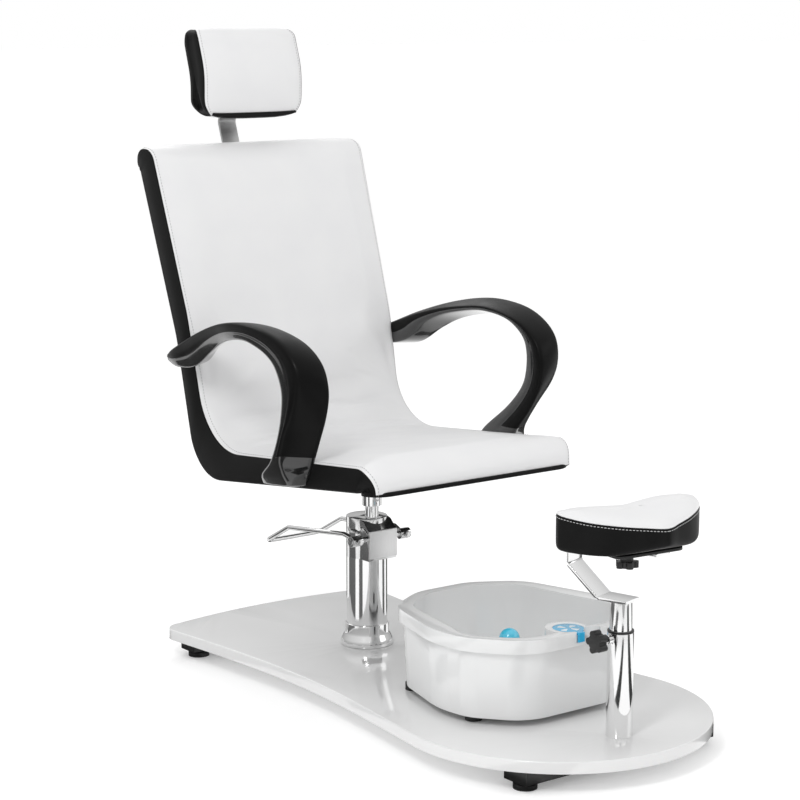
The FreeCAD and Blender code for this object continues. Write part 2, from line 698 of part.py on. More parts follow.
def leg_bracket():
    """Bent flat bar from the inner tube's cap back and up, then forward under the pad."""
    half, t = BRACKET_W / 2, BRACKET_T / 2
    bar = side_prism(band(BRACKET_LINE, -t, t), -half, half)
    slot = box(-4.5, 4.5, PAD_KNOB_Y - 32, PAD_KNOB_Y + 32, 340, 352)
    for y in (PAD_KNOB_Y - 32, PAD_KNOB_Y + 32):
        slot = slot.fuse(rod(4.5, (0, y, 340), (0, y, 352)))
    return turned(bar.cut(slot), BRACKET_TURN)


def pad_knob_room(radius, top):
    """Round room for the clamping knob's stud, where the bracket carries it."""
    room = rod(radius, (0, PAD_KNOB_Y, 340), (0, PAD_KNOB_Y, top))
    return turned(room, BRACKET_TURN)


PAD_SCREWS = [(-62, -832), (-62, -778), (62, -832), (62, -778)]


def leg_pad_plate():
    plate = plan_prism([(-74, -850, 15), (74, -850, 15), (74, -762, 15), (-74, -762, 15)],
                       350 + GAP, PAD_LOW)
    for x, y in PAD_SCREWS:
        plate = plate.cut(rod(2.5, (x, y, 350), (x, y, 360)))
    return turned(plate, PAD_TURN).cut(pad_knob_room(4 + RUN, 360))


def leg_pad_screws():
    """Pan-head screws up through the plate into the pad."""
    screws = []
    for x, y in PAD_SCREWS:
        head = rod(5, (x, y, 350 + GAP - 3), (x, y, 350 + GAP))
        screws.append(fuse(head, rod(2.5, (x, y, 350), (x, y, PAD_LOW + 12))))
    return turned(group(*screws), PAD_TURN)


def leg_pad():
    """Heart-shaped pad: a point at the front and two lobes with a dip between them."""
    half = [(0, -892), (38, -877), (82, -856), (123, -826), (147, -785), (145, -762), (128, -743),
            (102, -734), (51, -739), (0, -748)]
    curve = Part.BSplineCurve()
    curve.interpolate(Points=[Vec(x, y, 0) for x, y in half],
                      InitialTangent=Vec(1, 0.6, 0) * 40, FinalTangent=Vec(-1, 0, 0) * 40)
    right = curve.toShape()
    pad = face_of([right, mirror(right)]).extrude(Vec(0, 0, 500))
    cross = side_prism([(-900, 375, 0), (-828, PAD_LOW, 60), (-600, PAD_LOW, 0), (-600, 427, 0),
                        (-760, 427, 100), (-900, 416, 0)], -200, 200)
    pad = pad.common(cross)
    for x, y in PAD_SCREWS:
        pad = pad.cut(rod(2.5, (x, y, 340), (x, y, PAD_LOW + 12)))
    return turned(pad, PAD_TURN).cut(pad_knob_room(5, PAD_LOW + 14))


def leg_pad_knob():
    stud = rod(4, (0, PAD_KNOB_Y, 330), (0, PAD_KNOB_Y, PAD_LOW + 8))
    star = star_knob((0, PAD_KNOB_Y, 318), (0, 0, 1), 12)
    knob = fuse(star, rod(12, (0, PAD_KNOB_Y, 324), (0, PAD_KNOB_Y, 338)))
    return turned(fuse(knob, stud), BRACKET_TURN)


# ---------------------------------------------------------------- foot bath
BATH_HALF = [(62, -248, 100), (160, -304, 95), (207, -478, 200), (196, -560, 100), (118, -656, 110)]
BASIN_HALF = [(52, -270, 70), (136, -322, 75), (164, -462, 90), (184, -545, 60), (108, -636, 100)]


def closed_plan(half):
    """Both halves of a plan that is the same left and right."""
    return half + [(-x, y, r) for x, y, r in half[::-1]]


def inset_plan(half, d):
    """The plan moved inward by d all round."""
    outline = closed_plan(half)
    n = len(outline)
    ring_line = [outline[-1]] + outline + [outline[0]]
    moved = offset_line(ring_line, -d)[1:-1]
    return moved[:n]


def tapered(half, d_low, d_top, z0, z1):
    """A solid whose plan shrinks from one inset to another."""
    wires = []
    for d, z in ((d_low, z0), (d_top, z1)):
        corners = [(Vec(x, y, z), r) for x, y, r in inset_plan(half, d)]
        wires.append(Part.Wire(Part.__sortEdges__(path_edges(corners, True))))
    return Part.makeLoft(wires, True, True)


def bath_shell():
    """Outer housing of the bath, open at the bottom and the top."""
    low, top = 14.0, BATH_RIM_Z - BATH_RIM_H
    outer = tapered(BATH_HALF, 16, 9, low, top)
    room = tapered(BATH_HALF, 19, 12, low, top).cut(box(-300, 300, -700, -200, 0, low + 3))
    shell = outer.cut(room)
    for x, y in BATH_FEET:
        shell = shell.cut(rod(5, (x, y, 10), (x, y, low + 3)))
    return shell.cut(box(-14, 14, -280, -240, INLET_LOW, INLET_LOW + INLET_H))


def bath_basin():
    """Inner basin with its rim, handle ledges, control boss and central pedestal."""
    rim_low, floor = BATH_RIM_Z - BATH_RIM_H, BATH_FLOOR
    rim = plan_prism(inset_plan(BATH_HALF, 0), rim_low, BATH_RIM_Z)
    body = tapered(BASIN_HALF, 17, -3, floor - 3, rim_low)
    basin = rim.fuse(body)
    room = tapered(BASIN_HALF, 20, 0, floor, rim_low)
    boss = rod(CONTROL_R + 10, (0, CONTROL_Y + 6, 0), (0, CONTROL_Y + 6, 200))
    top_room = plan_prism(inset_plan(BASIN_HALF, 0), rim_low, BATH_RIM_Z).cut(boss)
    basin = basin.cut(room).cut(top_room)
    basin = basin.fuse(cone(46, 27, 0, -455, floor - 1, 108))
    basin = basin.cut(cone(43, 24, 0, -455, floor - 3, 105))
    well = rod(CONTROL_R + 0.5, (0, CONTROL_Y, BATH_RIM_Z - 7), (0, CONTROL_Y, BATH_RIM_Z))
    basin = basin.cut(well).cut(rod(5 + RUN, (0, CONTROL_Y, 130), (0, CONTROL_Y, BATH_RIM_Z)))
    return basin.cut(tab_room())


def tab_room():
    """Recess in the rim's front in which the control's tab swings."""
    depth = (BATH_RIM_Z - 20, BATH_RIM_Z)
    swing = rod(60, (0, CONTROL_Y, depth[0]), (0, CONTROL_Y, depth[1]))
    swing = swing.cut(rod(CONTROL_R - 2, (0, CONTROL_Y, depth[0]), (0, CONTROL_Y, depth[1])))
    corners = [Vec(x, CONTROL_Y + y, depth[0]) for x, y in ((-9, 0), (-9, -60), (60, -60),
                                                            (60, -27), (0, 0))]
    sector = Part.Face(Part.makePolygon(corners + corners[:1])).extrude(UP * 20)
    return swing.common(sector)


def bath_inlet():
    """Appliance inlet for a plug, in the middle of the shell's rear wall."""
    low, top = INLET_LOW, INLET_LOW + INLET_H
    body = box(-14, 14, -276, -256, low, top)
    socket = box(-11, 11, -272, -240, low + 3, top - 3)
    pins = [box(x - 1, x + 1, -273, -260, low + 9, low + 13) for x in (-6, 0, 6)]
    return fuse(body.cut(socket), *pins)


def bath_dome():
    """Round-topped massage dome on the pedestal."""
    dome = rod(20, (0, -455, 108), (0, -455, 110))
    ball = Part.makeSphere(20, Vec(0, -455, 110))
    return fuse(dome, ball.common(box(-30, 30, -490, -420, 110, 140)))


BATH_FEET = [(124, -318), (-124, -318), (152, -535), (-152, -535)]


def bath_feet():
    feet = []
    for x, y in BATH_FEET:
        feet.append(fuse(rod(16, (x, y, GAP), (x, y, 14)), rod(5, (x, y, 14), (x, y, 20))))
    return group(*feet)


def bath_motor():
    """Vibration motor and its bracket on the base plate."""
    can = rod(11, (-40, -380, 30), (10, -380, 30))
    bracket = box(-38, 6, -394, -366, 17, 24)
    return fuse(can, bracket)


def bath_control():
    """Blue control cap with a tab that folds over the rim's front."""
    top = BATH_RIM_Z - 1
    cap = rod(CONTROL_R, (0, CONTROL_Y, top - 5), (0, CONTROL_Y, top))
    cap = fuse(cap, rod(5, (0, CONTROL_Y, 131), (0, CONTROL_Y, top - 5)))
    tab = box(-7, 7, CONTROL_Y - CONTROL_R - 9, CONTROL_Y - CONTROL_R + 3, top - 5, top)
    fold = box(-7, 7, CONTROL_Y - CONTROL_R - 9, CONTROL_Y - CONTROL_R - 5, top - 18, top - 5)
    return fuse(cap, tab, fold)


# ---------------------------------------------------------------- the pieces
def make_all():
    arm = armrest()
    sleeve_holes = group(*[s for s in sleeve_screws().Solids])
    pieces = {
        "platform_board": screw_holes(platform_board()),
        "front_cross_tube": screw_holes(cross_tube(FRONT_TUBE, foot_holes("front")
                                                   + [(0, POST_Y, 6)])),
        "rear_cross_tube": screw_holes(cross_tube(REAR_TUBE, foot_holes("rear"))),
        "frame_rails": frame_rails(),
        "tube_end_caps": tube_end_caps(),
        "board_screws": board_screws(),
        "pump_base_plate": pump_base_plate(),
        "pump_base_bolts": pump_base_bolts(),
        "base_escutcheon": base_escutcheon(),
        "column_cover_tube": ring(COLUMN_R, COLUMN_R - COLUMN_WALL, 0, 0, 0, HEAD_LOW),
        "hydraulic_cylinder": hydraulic_cylinder(),
        "pump_head": pump_head(),
        "head_front_plate": head_front_plate(),
        "pump_plunger": pump_plunger(),
        "pedal_shaft": pedal_shaft(),
        "pedal_collars": group(pedal_collar_with_hole(), mirror(pedal_collar_with_hole())),
        "pedal_set_screws": pedal_set_screws(),
        "pedal_loop": pedal_loop(),
        "lift_piston": lift_piston(),
        "seat_socket": seat_socket(),
        "socket_set_screw": socket_set_screw(),
        "seat_mount_plate": seat_mount_plate(),
        "seat_frame_bars": seat_frame_bars(),
        "seat_board": seat_board(),
        "back_board": back_board(),
        "seat_back_pad": seat_back_pad(),
        "side_panels": side_bolt_holes(side_panels()),
        "rear_cover": cover_holes(rear_cover()).cut(sleeve_holes),
        "armrest_left": arm,
        "armrest_right": mirror(arm),
        "seat_bolts": group(*(seat_mount_bolts() + arm_bolts())),
        "headrest_sleeve": headrest_sleeve(),
        "sleeve_screws": sleeve_screws(),
        "headrest_bar": headrest_bar(),
        "headrest_board": headrest_board(),
        "headrest_pad": headrest_pad(),
        "headrest_side_panels": headrest_side_panels(),
        "headrest_knob": headrest_knob(),
        "leg_post_tube": leg_post_tube(),
        "post_fixing_bolt": post_fixing_bolt(),
        "post_guide_bush": post_guide_bush(),
        "post_knob": post_knob(),
        "leg_tube_glide": leg_tube_glide(),
        "leg_inner_tube": leg_inner_tube(),
        "leg_bracket": leg_bracket(),
        "leg_pad_plate": leg_pad_plate(),
        "leg_pad_screws": leg_pad_screws(),
        "leg_pad": leg_pad(),
        "leg_pad_knob": leg_pad_knob(),
        "bath_shell": bath_shell(),
        "bath_basin": bath_basin(),
        "bath_inlet": bath_inlet(),
        "bath_dome": bath_dome(),
        "bath_feet": bath_feet(),
        "bath_motor": bath_motor(),
        "bath_control": bath_control(),
    }
    for name, (x, y) in FOOT_PLACES.items():
        pieces["levelling_foot_" + name] = levelling_foot(x, y)
    return pieces


def pedal_collar_with_hole():
    hole = rod(4, (60.5, SHAFT_Y - 20, SHAFT_Z), (60.5, SHAFT_Y, SHAFT_Z))
    return pedal_collar().cut(hole)


def cover_holes(shape):
    for x, y in MOUNT_BOLTS:
        shape = shape.cut(rod(4, (x, y, 300), (x, y, 460)))
    return shape


os.makedirs("parts", exist_ok=True)
for piece_name, piece_shape in make_all().items():
    export(piece_name, piece_shape)
    print(piece_name, len(piece_shape.Solids), round(piece_shape.Volume / 1000, 1), "cm3")
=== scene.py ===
import math

import bpy
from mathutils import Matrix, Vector


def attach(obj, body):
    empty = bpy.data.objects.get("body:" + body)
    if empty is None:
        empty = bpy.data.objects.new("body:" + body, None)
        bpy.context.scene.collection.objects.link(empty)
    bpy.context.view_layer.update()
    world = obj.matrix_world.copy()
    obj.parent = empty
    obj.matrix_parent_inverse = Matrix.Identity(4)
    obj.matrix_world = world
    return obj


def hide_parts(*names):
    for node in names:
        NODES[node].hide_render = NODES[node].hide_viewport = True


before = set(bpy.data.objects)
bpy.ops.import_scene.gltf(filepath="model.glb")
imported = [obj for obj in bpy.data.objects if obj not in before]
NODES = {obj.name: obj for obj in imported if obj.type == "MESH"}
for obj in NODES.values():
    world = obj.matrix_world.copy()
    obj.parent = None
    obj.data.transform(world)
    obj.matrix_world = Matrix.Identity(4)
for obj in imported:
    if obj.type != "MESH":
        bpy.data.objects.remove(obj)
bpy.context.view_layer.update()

# Lengths below are millimetres in the column frame, as in the part's source: the origin is on the
# platform's top at the column's axis, X to the sitter's left, Y to the rear.  at() turns them into
# the frame's metres.
COLUMN_Y, PLATFORM_TOP = 190.0, 61.0


def at(x, y, z):
    """A place of the column frame in the frame's metres."""
    return Vector((x, y + COLUMN_Y, z + PLATFORM_TOP)) / 1000.0


def link_object(name, data):
    """Puts a mesh, light or camera in the scene as an object."""
    obj = bpy.data.objects.new(name, data)
    bpy.context.scene.collection.objects.link(obj)
    return obj


def ramp(value, length):
    """Rises evenly from 0 at nothing to 1 at the given length, and stays there."""
    return max(0.0, min(1.0, value / length))


# ---------------------------------------------------------------- materials
TEXTURE_LOW, TEXTURE_HIGH = 0.3, 0.7    # most of a noise texture's values lie between these


def new_material(name):
    """A material, its node tree, its shader and the object's own coordinates."""
    mat = bpy.data.materials.new(name)
    mat.use_nodes = True
    tree = mat.node_tree
    shader = tree.nodes["Principled BSDF"]
    place = tree.nodes.new("ShaderNodeTexCoord")
    return mat, tree, shader, place.outputs["Object"]


def stretched(tree, place, scale):
    """Coordinates scaled differently along each axis, for grain that runs one way."""
    mapping = tree.nodes.new("ShaderNodeMapping")
    mapping.inputs["Scale"].default_value = scale
    tree.links.new(place, mapping.inputs["Vector"])
    return mapping.outputs["Vector"]


def noise(tree, place, scale, detail=3.0):
    """Cloudy values between 0 and 1."""
    node = tree.nodes.new("ShaderNodeTexNoise")
    node.inputs["Scale"].default_value = scale
    node.inputs["Detail"].default_value = detail
    tree.links.new(place, node.inputs["Vector"])
    return node.outputs["Fac"]


def cells(tree, place, scale):
    """Distance to the nearest of many scattered points, for a pebbled grain."""
    node = tree.nodes.new("ShaderNodeTexVoronoi")
    node.feature = "F1"
    node.inputs["Scale"].default_value = scale
    tree.links.new(place, node.inputs["Vector"])
    return node.outputs["Distance"]


def spread(tree, source, low, high, socket):
    """Drives a socket between two values by a texture."""
    node = tree.nodes.new("ShaderNodeMapRange")
    node.inputs["From Min"].default_value = TEXTURE_LOW
    node.inputs["From Max"].default_value = TEXTURE_HIGH
    node.inputs["To Min"].default_value = low
    node.inputs["To Max"].default_value = high
    tree.links.new(source, node.inputs["Value"])
    tree.links.new(node.outputs["Result"], socket)


def colours(tree, source, first, second, socket):
    """Two colours mixed by a texture."""
    node = tree.nodes.new("ShaderNodeMix")
    node.data_type = "RGBA"
    node.inputs["A"].default_value = (*first, 1)
    node.inputs["B"].default_value = (*second, 1)
    tree.links.new(source, node.inputs["Factor"])
    tree.links.new(node.outputs["Result"], socket)


def grey(value):
    """A neutral colour."""
    return (value, value, value)


def bumps(tree, shader, layers):
    """Chains (height, strength, depth in metres) layers into the shader's normal."""
    before = None
    for height, strength, depth in layers:
        node = tree.nodes.new("ShaderNodeBump")
        node.inputs["Strength"].default_value = strength
        node.inputs["Distance"].default_value = depth
        tree.links.new(height, node.inputs["Height"])
        if before is not None:
            tree.links.new(before, node.inputs["Normal"])
        before = node.outputs["Normal"]
    tree.links.new(before, shader.inputs["Normal"])


def leathercloth(name, base, worn, rough, shine=0.45):
    """Smooth upholstery vinyl: fine pebbled grain, faint stretch clouds and a thin clear skin."""
    mat, tree, shader, place = new_material(name)
    clouds = noise(tree, place, 14, 2)
    colours(tree, clouds, base, worn, shader.inputs["Base Color"])
    spread(tree, clouds, rough - 0.04, rough + 0.07, shader.inputs["Roughness"])
    shader.inputs["Specular IOR Level"].default_value = shine
    grain = cells(tree, place, 620)
    bumps(tree, shader, [(clouds, 0.25, 0.0012), (grain, 0.3, 0.0003)])
    return mat


def polished(name, colour, rough, ripple=0.04):
    """Chrome plate: nearly a mirror, with faint smears and a slight ripple."""
    mat, tree, shader, place = new_material(name)
    smears = noise(tree, place, 22, 3)
    colours(tree, smears, grey(colour), grey(colour * 0.93), shader.inputs["Base Color"])
    shader.inputs["Metallic"].default_value = 1.0
    spread(tree, smears, rough, rough + 0.06, shader.inputs["Roughness"])
    bumps(tree, shader, [(noise(tree, place, 9), ripple, 0.0008)])
    return mat


def brushed(name, colour, rough, along=(30, 30, 900)):
    """Satin steel with fine parallel lines."""
    mat, tree, shader, place = new_material(name)
    lines = noise(tree, stretched(tree, place, along), 1.0, 3)
    colours(tree, lines, grey(colour * 0.85), grey(colour), shader.inputs["Base Color"])
    shader.inputs["Metallic"].default_value = 1.0
    spread(tree, lines, rough - 0.06, rough + 0.08, shader.inputs["Roughness"])
    bumps(tree, shader, [(lines, 0.25, 0.0001)])
    return mat


def moulded(name, base, shade, rough, speckle):
    """Moulded or powder-coated surface with a fine texture."""
    mat, tree, shader, place = new_material(name)
    patches = noise(tree, place, 30, 2)
    colours(tree, patches, base, shade, shader.inputs["Base Color"])
    spread(tree, patches, rough - 0.05, rough + 0.06, shader.inputs["Roughness"])
    bumps(tree, shader, [(noise(tree, place, speckle, 0), 0.3, 0.00012)])
    return mat


def glossy(name, base, shade, rough, coat):
    """Glossy moulding or lacquer: soft flow marks under a clear coat."""
    mat, tree, shader, place = new_material(name)
    flow = noise(tree, place, 6, 1)
    colours(tree, flow, base, shade, shader.inputs["Base Color"])
    spread(tree, noise(tree, place, 40, 1), rough, rough + 0.05, shader.inputs["Roughness"])
    shader.inputs["Coat Weight"].default_value = coat
    shader.inputs["Coat Roughness"].default_value = 0.04
    bumps(tree, shader, [(flow, 0.1, 0.0008)])
    return mat


def layered_wood(name):
    """Birch plywood: pale face with darker glue lines through the edge."""
    mat, tree, shader, place = new_material(name)
    grain = noise(tree, stretched(tree, place, (60, 9, 60)), 1.0, 6)
    colours(tree, grain, (0.50, 0.34, 0.19), (0.68, 0.52, 0.33), shader.inputs["Base Color"])
    spread(tree, grain, 0.5, 0.7, shader.inputs["Roughness"])
    bumps(tree, shader, [(grain, 0.3, 0.0003)])
    return mat


CONTROL_Y = -622                        # millimetres, the control's middle
WEDGE_COUNT, WEDGE_CUT = 4.0, 0.35      # the sine above which a wedge is white
WEDGES_FROM, WEDGES_TO = 0.006, 0.021   # metres from the control's middle


def control_face(name):
    """Blue control cap with plain white wedges round its middle as a setting scale."""
    mat, tree, shader, place = new_material(name)
    split = tree.nodes.new("ShaderNodeSeparateXYZ")
    tree.links.new(place, split.inputs["Vector"])
    centre = at(0, CONTROL_Y, 0)

    def maths(kind, first, second=None):
        """A sum of one or two values, each a number or a socket."""
        node = tree.nodes.new("ShaderNodeMath")
        node.operation = kind
        for slot, value in enumerate((first, second)):
            if value is None:
                continue
            if isinstance(value, float):
                node.inputs[slot].default_value = value
            else:
                tree.links.new(value, node.inputs[slot])
        return node.outputs["Value"]

    dx = maths("SUBTRACT", split.outputs["X"], centre.x)
    dy = maths("SUBTRACT", split.outputs["Y"], centre.y)
    turn = maths("ARCTAN2", dy, dx)
    wave = maths("SINE", maths("MULTIPLY", turn, WEDGE_COUNT))
    wedge = maths("GREATER_THAN", wave, WEDGE_CUT)
    radius = maths("SQRT", maths("ADD", maths("MULTIPLY", dx, dx), maths("MULTIPLY", dy, dy)))
    within = maths("LESS_THAN", radius, WEDGES_TO)
    beyond = maths("GREATER_THAN", radius, WEDGES_FROM)
    mask = maths("MULTIPLY", wedge, maths("MULTIPLY", within, beyond))
    colours(tree, mask, (0.03, 0.42, 0.72), (0.80, 0.90, 0.93), shader.inputs["Base Color"])
    spread(tree, noise(tree, place, 60), 0.12, 0.2, shader.inputs["Roughness"])
    shader.inputs["Coat Weight"].default_value = 0.6
    bumps(tree, shader, [(noise(tree, place, 150), 0.08, 0.0002)])
    return mat


MATS = {
    "white_lacquer": glossy("white_lacquer", grey(0.80), grey(0.76), 0.10, 0.7),
    "black_paint": moulded("black_paint", grey(0.010), grey(0.016), 0.42, 700),
    "black_plastic": moulded("black_plastic", grey(0.010), grey(0.014), 0.36, 900),
    "chrome": polished("chrome", 0.86, 0.045),
    "brushed": brushed("brushed", 0.50, 0.36),
    "zinc": polished("zinc", 0.68, 0.16, 0.1),
    "head_grey": polished("head_grey", 0.74, 0.08, 0.1),
    "white_vinyl": leathercloth("white_vinyl", grey(0.79), (0.75, 0.75, 0.76), 0.40),
    "black_vinyl": leathercloth("black_vinyl", grey(0.005), grey(0.008), 0.40, 0.10),
    "arm_pad": leathercloth("arm_pad", grey(0.0025), grey(0.004), 0.34, 0.10),
    "arm_shell": glossy("arm_shell", grey(0.005), grey(0.008), 0.12, 0.8),
    "plywood": layered_wood("plywood"),
    "rubber": moulded("rubber", grey(0.008), grey(0.013), 0.55, 500),
    "bath_white": glossy("bath_white", grey(0.80), (0.78, 0.79, 0.79), 0.14, 0.5),
    "bath_blue": glossy("bath_blue", (0.05, 0.50, 0.72), (0.09, 0.60, 0.80), 0.10, 0.8),
    "control": control_face("control"),
    "plate": brushed("plate", 0.92, 0.40, (700, 30, 30)),
    "white_thread": moulded("white_thread", grey(0.62), grey(0.5), 0.7, 2500),
    "pale_thread": moulded("pale_thread", grey(0.42), grey(0.34), 0.7, 2500),
}


# ---------------------------------------------------------------- mesh helpers
STRAIGHT = math.radians(89.9)           # a corner whose half angle is wider needs no arc


def rounded_line(corners, arc_steps, line_steps):
    """(y, z) points along an open line of (y, z, radius) corners, so many steps on each stretch."""
    points = []
    for i, (y, z, radius) in enumerate(corners):
        corner = Vector((y, z))
        if i in (0, len(corners) - 1):
            arc = [corner]
        else:
            arc = corner_arc(corners[i - 1], corners[i], corners[i + 1], arc_steps[i - 1])
        if points:
            last, steps = points[-1], line_steps[i - 1]
            points += [last.lerp(arc[0], k / steps) for k in range(1, steps)]
        points += arc
    return points


def corner_arc(before, here, after, steps):
    """Points round one (y, z, radius) corner between its neighbours."""
    corner = Vector(here[:2])
    a = (Vector(before[:2]) - corner).normalized()
    b = (Vector(after[:2]) - corner).normalized()
    half = math.acos(max(-1.0, min(1.0, a.dot(b)))) / 2
    radius = here[2]
    if radius <= 0 or half > STRAIGHT:
        return [corner] * (steps + 1)
    centre = corner + (a + b).normalized() * (radius / math.sin(half))
    first = corner + a * (radius / math.tan(half)) - centre
    last = corner + b * (radius / math.tan(half)) - centre
    turn = math.atan2(first.x * last.y - first.y * last.x, first.dot(last))
    arc = []
    for k in range(steps + 1):
        c, s = math.cos(turn * k / steps), math.sin(turn * k / steps)
        arc.append(centre + Vector((first.x * c - first.y * s, first.x * s + first.y * c)))
    return arc


def closed_line(corners, arc_steps, line_steps):
    """(y, z) points round a closed line of (y, z, radius) corners."""
    n, points = len(corners), []
    for i in range(n):
        arc = corner_arc(corners[i - 1], corners[i], corners[(i + 1) % n], arc_steps)
        if points:
            last = points[-1]
            points += [last.lerp(arc[0], k / line_steps) for k in range(1, line_steps)]
        points += arc
    last, first = points[-1], points[0]
    return points + [last.lerp(first, k / line_steps) for k in range(1, line_steps)]


def smooth_point(p0, p1, p2, p3, t):
    """A place between the second and third points, on a smooth curve through all such points."""
    return 0.5 * (2 * p1 + (p2 - p0) * t + (2 * p0 - 5 * p1 + 4 * p2 - p3) * t * t
                  + (3 * p1 - p0 - 3 * p2 + p3) * t ** 3)


def grid_mesh(name, rings):
    """A closed tube of quads through rings of equally many points (frame metres), with end caps."""
    n = len(rings[0])
    verts = [tuple(p) for ring in rings for p in ring]
    faces = []
    for i in range(len(rings) - 1):
        for j in range(n):
            k = (j + 1) % n
            faces.append((i * n + j, i * n + k, (i + 1) * n + k, (i + 1) * n + j))
    faces.append(tuple(range(n))[::-1])
    faces.append(tuple((len(rings) - 1) * n + j for j in range(n)))
    mesh = bpy.data.meshes.new(name)
    mesh.from_pydata(verts, [], faces)
    mesh.update()
    face_outward(mesh)
    mesh.shade_smooth()
    return link_object(name, mesh)


def face_outward(mesh):
    """Turns the faces of a closed mesh outward."""
    volume = 0.0
    for face in mesh.polygons:
        first = mesh.vertices[face.vertices[0]].co
        for a, b in zip(face.vertices[1:-1], face.vertices[2:]):
            volume += first.dot(mesh.vertices[a].co.cross(mesh.vertices[b].co))
    if volume < 0:
        mesh.flip_normals()


def finish_piece(obj, body, slot, *mats, replaces=()):
    """Gives a piece its materials and its body, and hides the CAD nodes that it stands for; the slot is
    not used.
    """
    for mat in mats:
        obj.data.materials.append(MATS[mat])
    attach(obj, body)
    if replaces:
        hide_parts(*replaces)


def subdivide(obj):
    """Rounds a piece's facets by splitting each face once."""
    mod = obj.modifiers.new("rounding", "SUBSURF")
    mod.levels = 1
    mod.render_levels = 1
    mod.use_limit_surface = False


SWELL_FRAMES = 20


def inflate(obj, held, cap, pressure):
    """Swells a closed cover by cloth pressure; held points stay, no point moves over cap metres."""
    rest = [v.co.copy() for v in obj.data.vertices]
    group = obj.vertex_groups.new(name="held")
    group.add(held, 1.0, "REPLACE")
    cloth = obj.modifiers.new("cloth", "CLOTH")
    cloth.settings.quality = 6
    cloth.settings.mass = 0.4
    cloth.settings.tension_stiffness = 25
    cloth.settings.compression_stiffness = 25
    cloth.settings.shear_stiffness = 8
    cloth.settings.bending_stiffness = 1.5
    cloth.settings.use_pressure = True
    cloth.settings.uniform_pressure_force = pressure
    cloth.settings.vertex_group_mass = "held"
    cloth.settings.effector_weights.gravity = 0.0
    cloth.collision_settings.use_collision = False
    cloth.point_cache.frame_start = 1
    cloth.point_cache.frame_end = SWELL_FRAMES
    scene = bpy.context.scene
    for step in range(1, SWELL_FRAMES + 1):
        scene.frame_set(step)
    graph = bpy.context.evaluated_depsgraph_get()
    swollen = obj.evaluated_get(graph).to_mesh()
    moved = [v.co.copy() for v in swollen.vertices]
    obj.evaluated_get(graph).to_mesh_clear()
    obj.modifiers.remove(cloth)
    scene.frame_set(1)
    for vertex, start, end in zip(obj.data.vertices, rest, moved):
        shift = end - start
        if shift.length > cap:
            shift = shift.normalized() * cap
        vertex.co = start + shift
    obj.data.update()


# Rings of one thread, as (place from the middle in half lengths, width in radii).
THREAD = ((-1, 0.25), (-0.72, 0.95), (0, 1.0), (0.72, 0.95), (1, 0.25))
THREAD_SIDES, THREAD_FLAT = 6, 0.8
THREAD_LIFT = 0.55                      # radii that the middle stands above the buried ends

# Each row's (pitch, length, radius) in metres.
SEAT_THREAD = (0.0062, 0.0040, 0.00055)
HEAD_THREAD = (0.0058, 0.0038, 0.0005)
LEG_THREAD = (0.0062, 0.0042, 0.0006)


def add_thread(verts, faces, here, along, up, length, radius):
    """Adds one short capped thread, which lies along a surface with its ends drawn in."""
    side = along.cross(up).normalized()
    start = len(verts)
    for share, width in THREAD:
        lift = up * radius * (THREAD_LIFT if abs(share) < 1 else 0.0)
        for k in range(THREAD_SIDES):
            angle = 2 * math.pi * k / THREAD_SIDES
            offset = side * math.cos(angle) + up * math.sin(angle) * THREAD_FLAT
            verts.append(here + along * share * length / 2 + offset * radius * width + lift)
    for ring in range(len(THREAD) - 1):
        for k in range(THREAD_SIDES):
            p = start + ring * THREAD_SIDES + k
            q = start + ring * THREAD_SIDES + (k + 1) % THREAD_SIDES
            faces.append((p, q, q + THREAD_SIDES, p + THREAD_SIDES))
    end = start + (len(THREAD) - 1) * THREAD_SIDES
    faces.append(tuple(start + k for k in range(THREAD_SIDES))[::-1])
    faces.append(tuple(end + k for k in range(THREAD_SIDES)))


def row_of_stitches(name, points, normals, thread, body, mat):
    """Short threads laid end to end along a line on a surface (metres)."""
    pitch, length, radius = thread
    verts, faces = [], []
    travelled, wanted = 0.0, pitch / 2
    for i in range(len(points) - 1):
        a, b = points[i], points[i + 1]
        span = (b - a).length
        while span > 0 and travelled + span >= wanted:
            here = a.lerp(b, (wanted - travelled) / span)
            along = (b - a).normalized()
            up = normals[i].lerp(normals[i + 1], (wanted - travelled) / span).normalized()
            add_thread(verts, faces, here, along, up, length, radius)
            wanted += pitch
        travelled += span
    mesh = bpy.data.meshes.new(name)
    mesh.from_pydata([tuple(p) for p in verts], [], faces)
    mesh.update()
    mesh.shade_smooth()
    finish_piece(link_object(name, mesh), body, "white_vinyl", mat)


def column_of(obj, width, index, first):
    """Points and normals of one column of a grid mesh, from its row number first to its end."""
    verts = obj.data.vertices
    ids = [row * width + index for row in range(first, len(verts) // width)]
    return [verts[i].co.copy() for i in ids], [verts[i].normal.copy() for i in ids]


# ---------------------------------------------------------------- seat and back
# Matching corners (y, z, radius) from behind the top of the back, over it, down its face and along
# the seat to the foot of the front edge: the side seam, the crown at the middle, the hidden back
# of the padding, and the outer corner of the black shell.
SEAM = [(436, 966, 0), (449, 1003, 24), (382, 1003, 34), (269, 674, 300), (208, 398, 130),
        (-349, 449, 42), (-351, 400, 0)]
CROWN = [(435, 968, 0), (448, 1010, 20), (379, 1011, 38), (226, 564, 300), (182, 408, 125),
         (-358, 463, 46), (-359, 400, 0)]
BACKING = [(430, 966, 0), (433, 982, 4), (420, 978, 4), (292, 624, 300), (237, 358, 74),
           (-325, 424, 10), (-332, 402, 0)]
SHELL = [(436, 966, 0), (434, 961, 0), (432, 955, 0), (314, 618, 300), (253, 333, 95),
         (-300, 396, 80), (-351, 396, 0)]
ARCS = [7, 6, 8, 22, 9]                 # steps round each corner of these lines
LINES = [2, 4, 34, 16, 46, 3]           # steps along each stretch between the corners

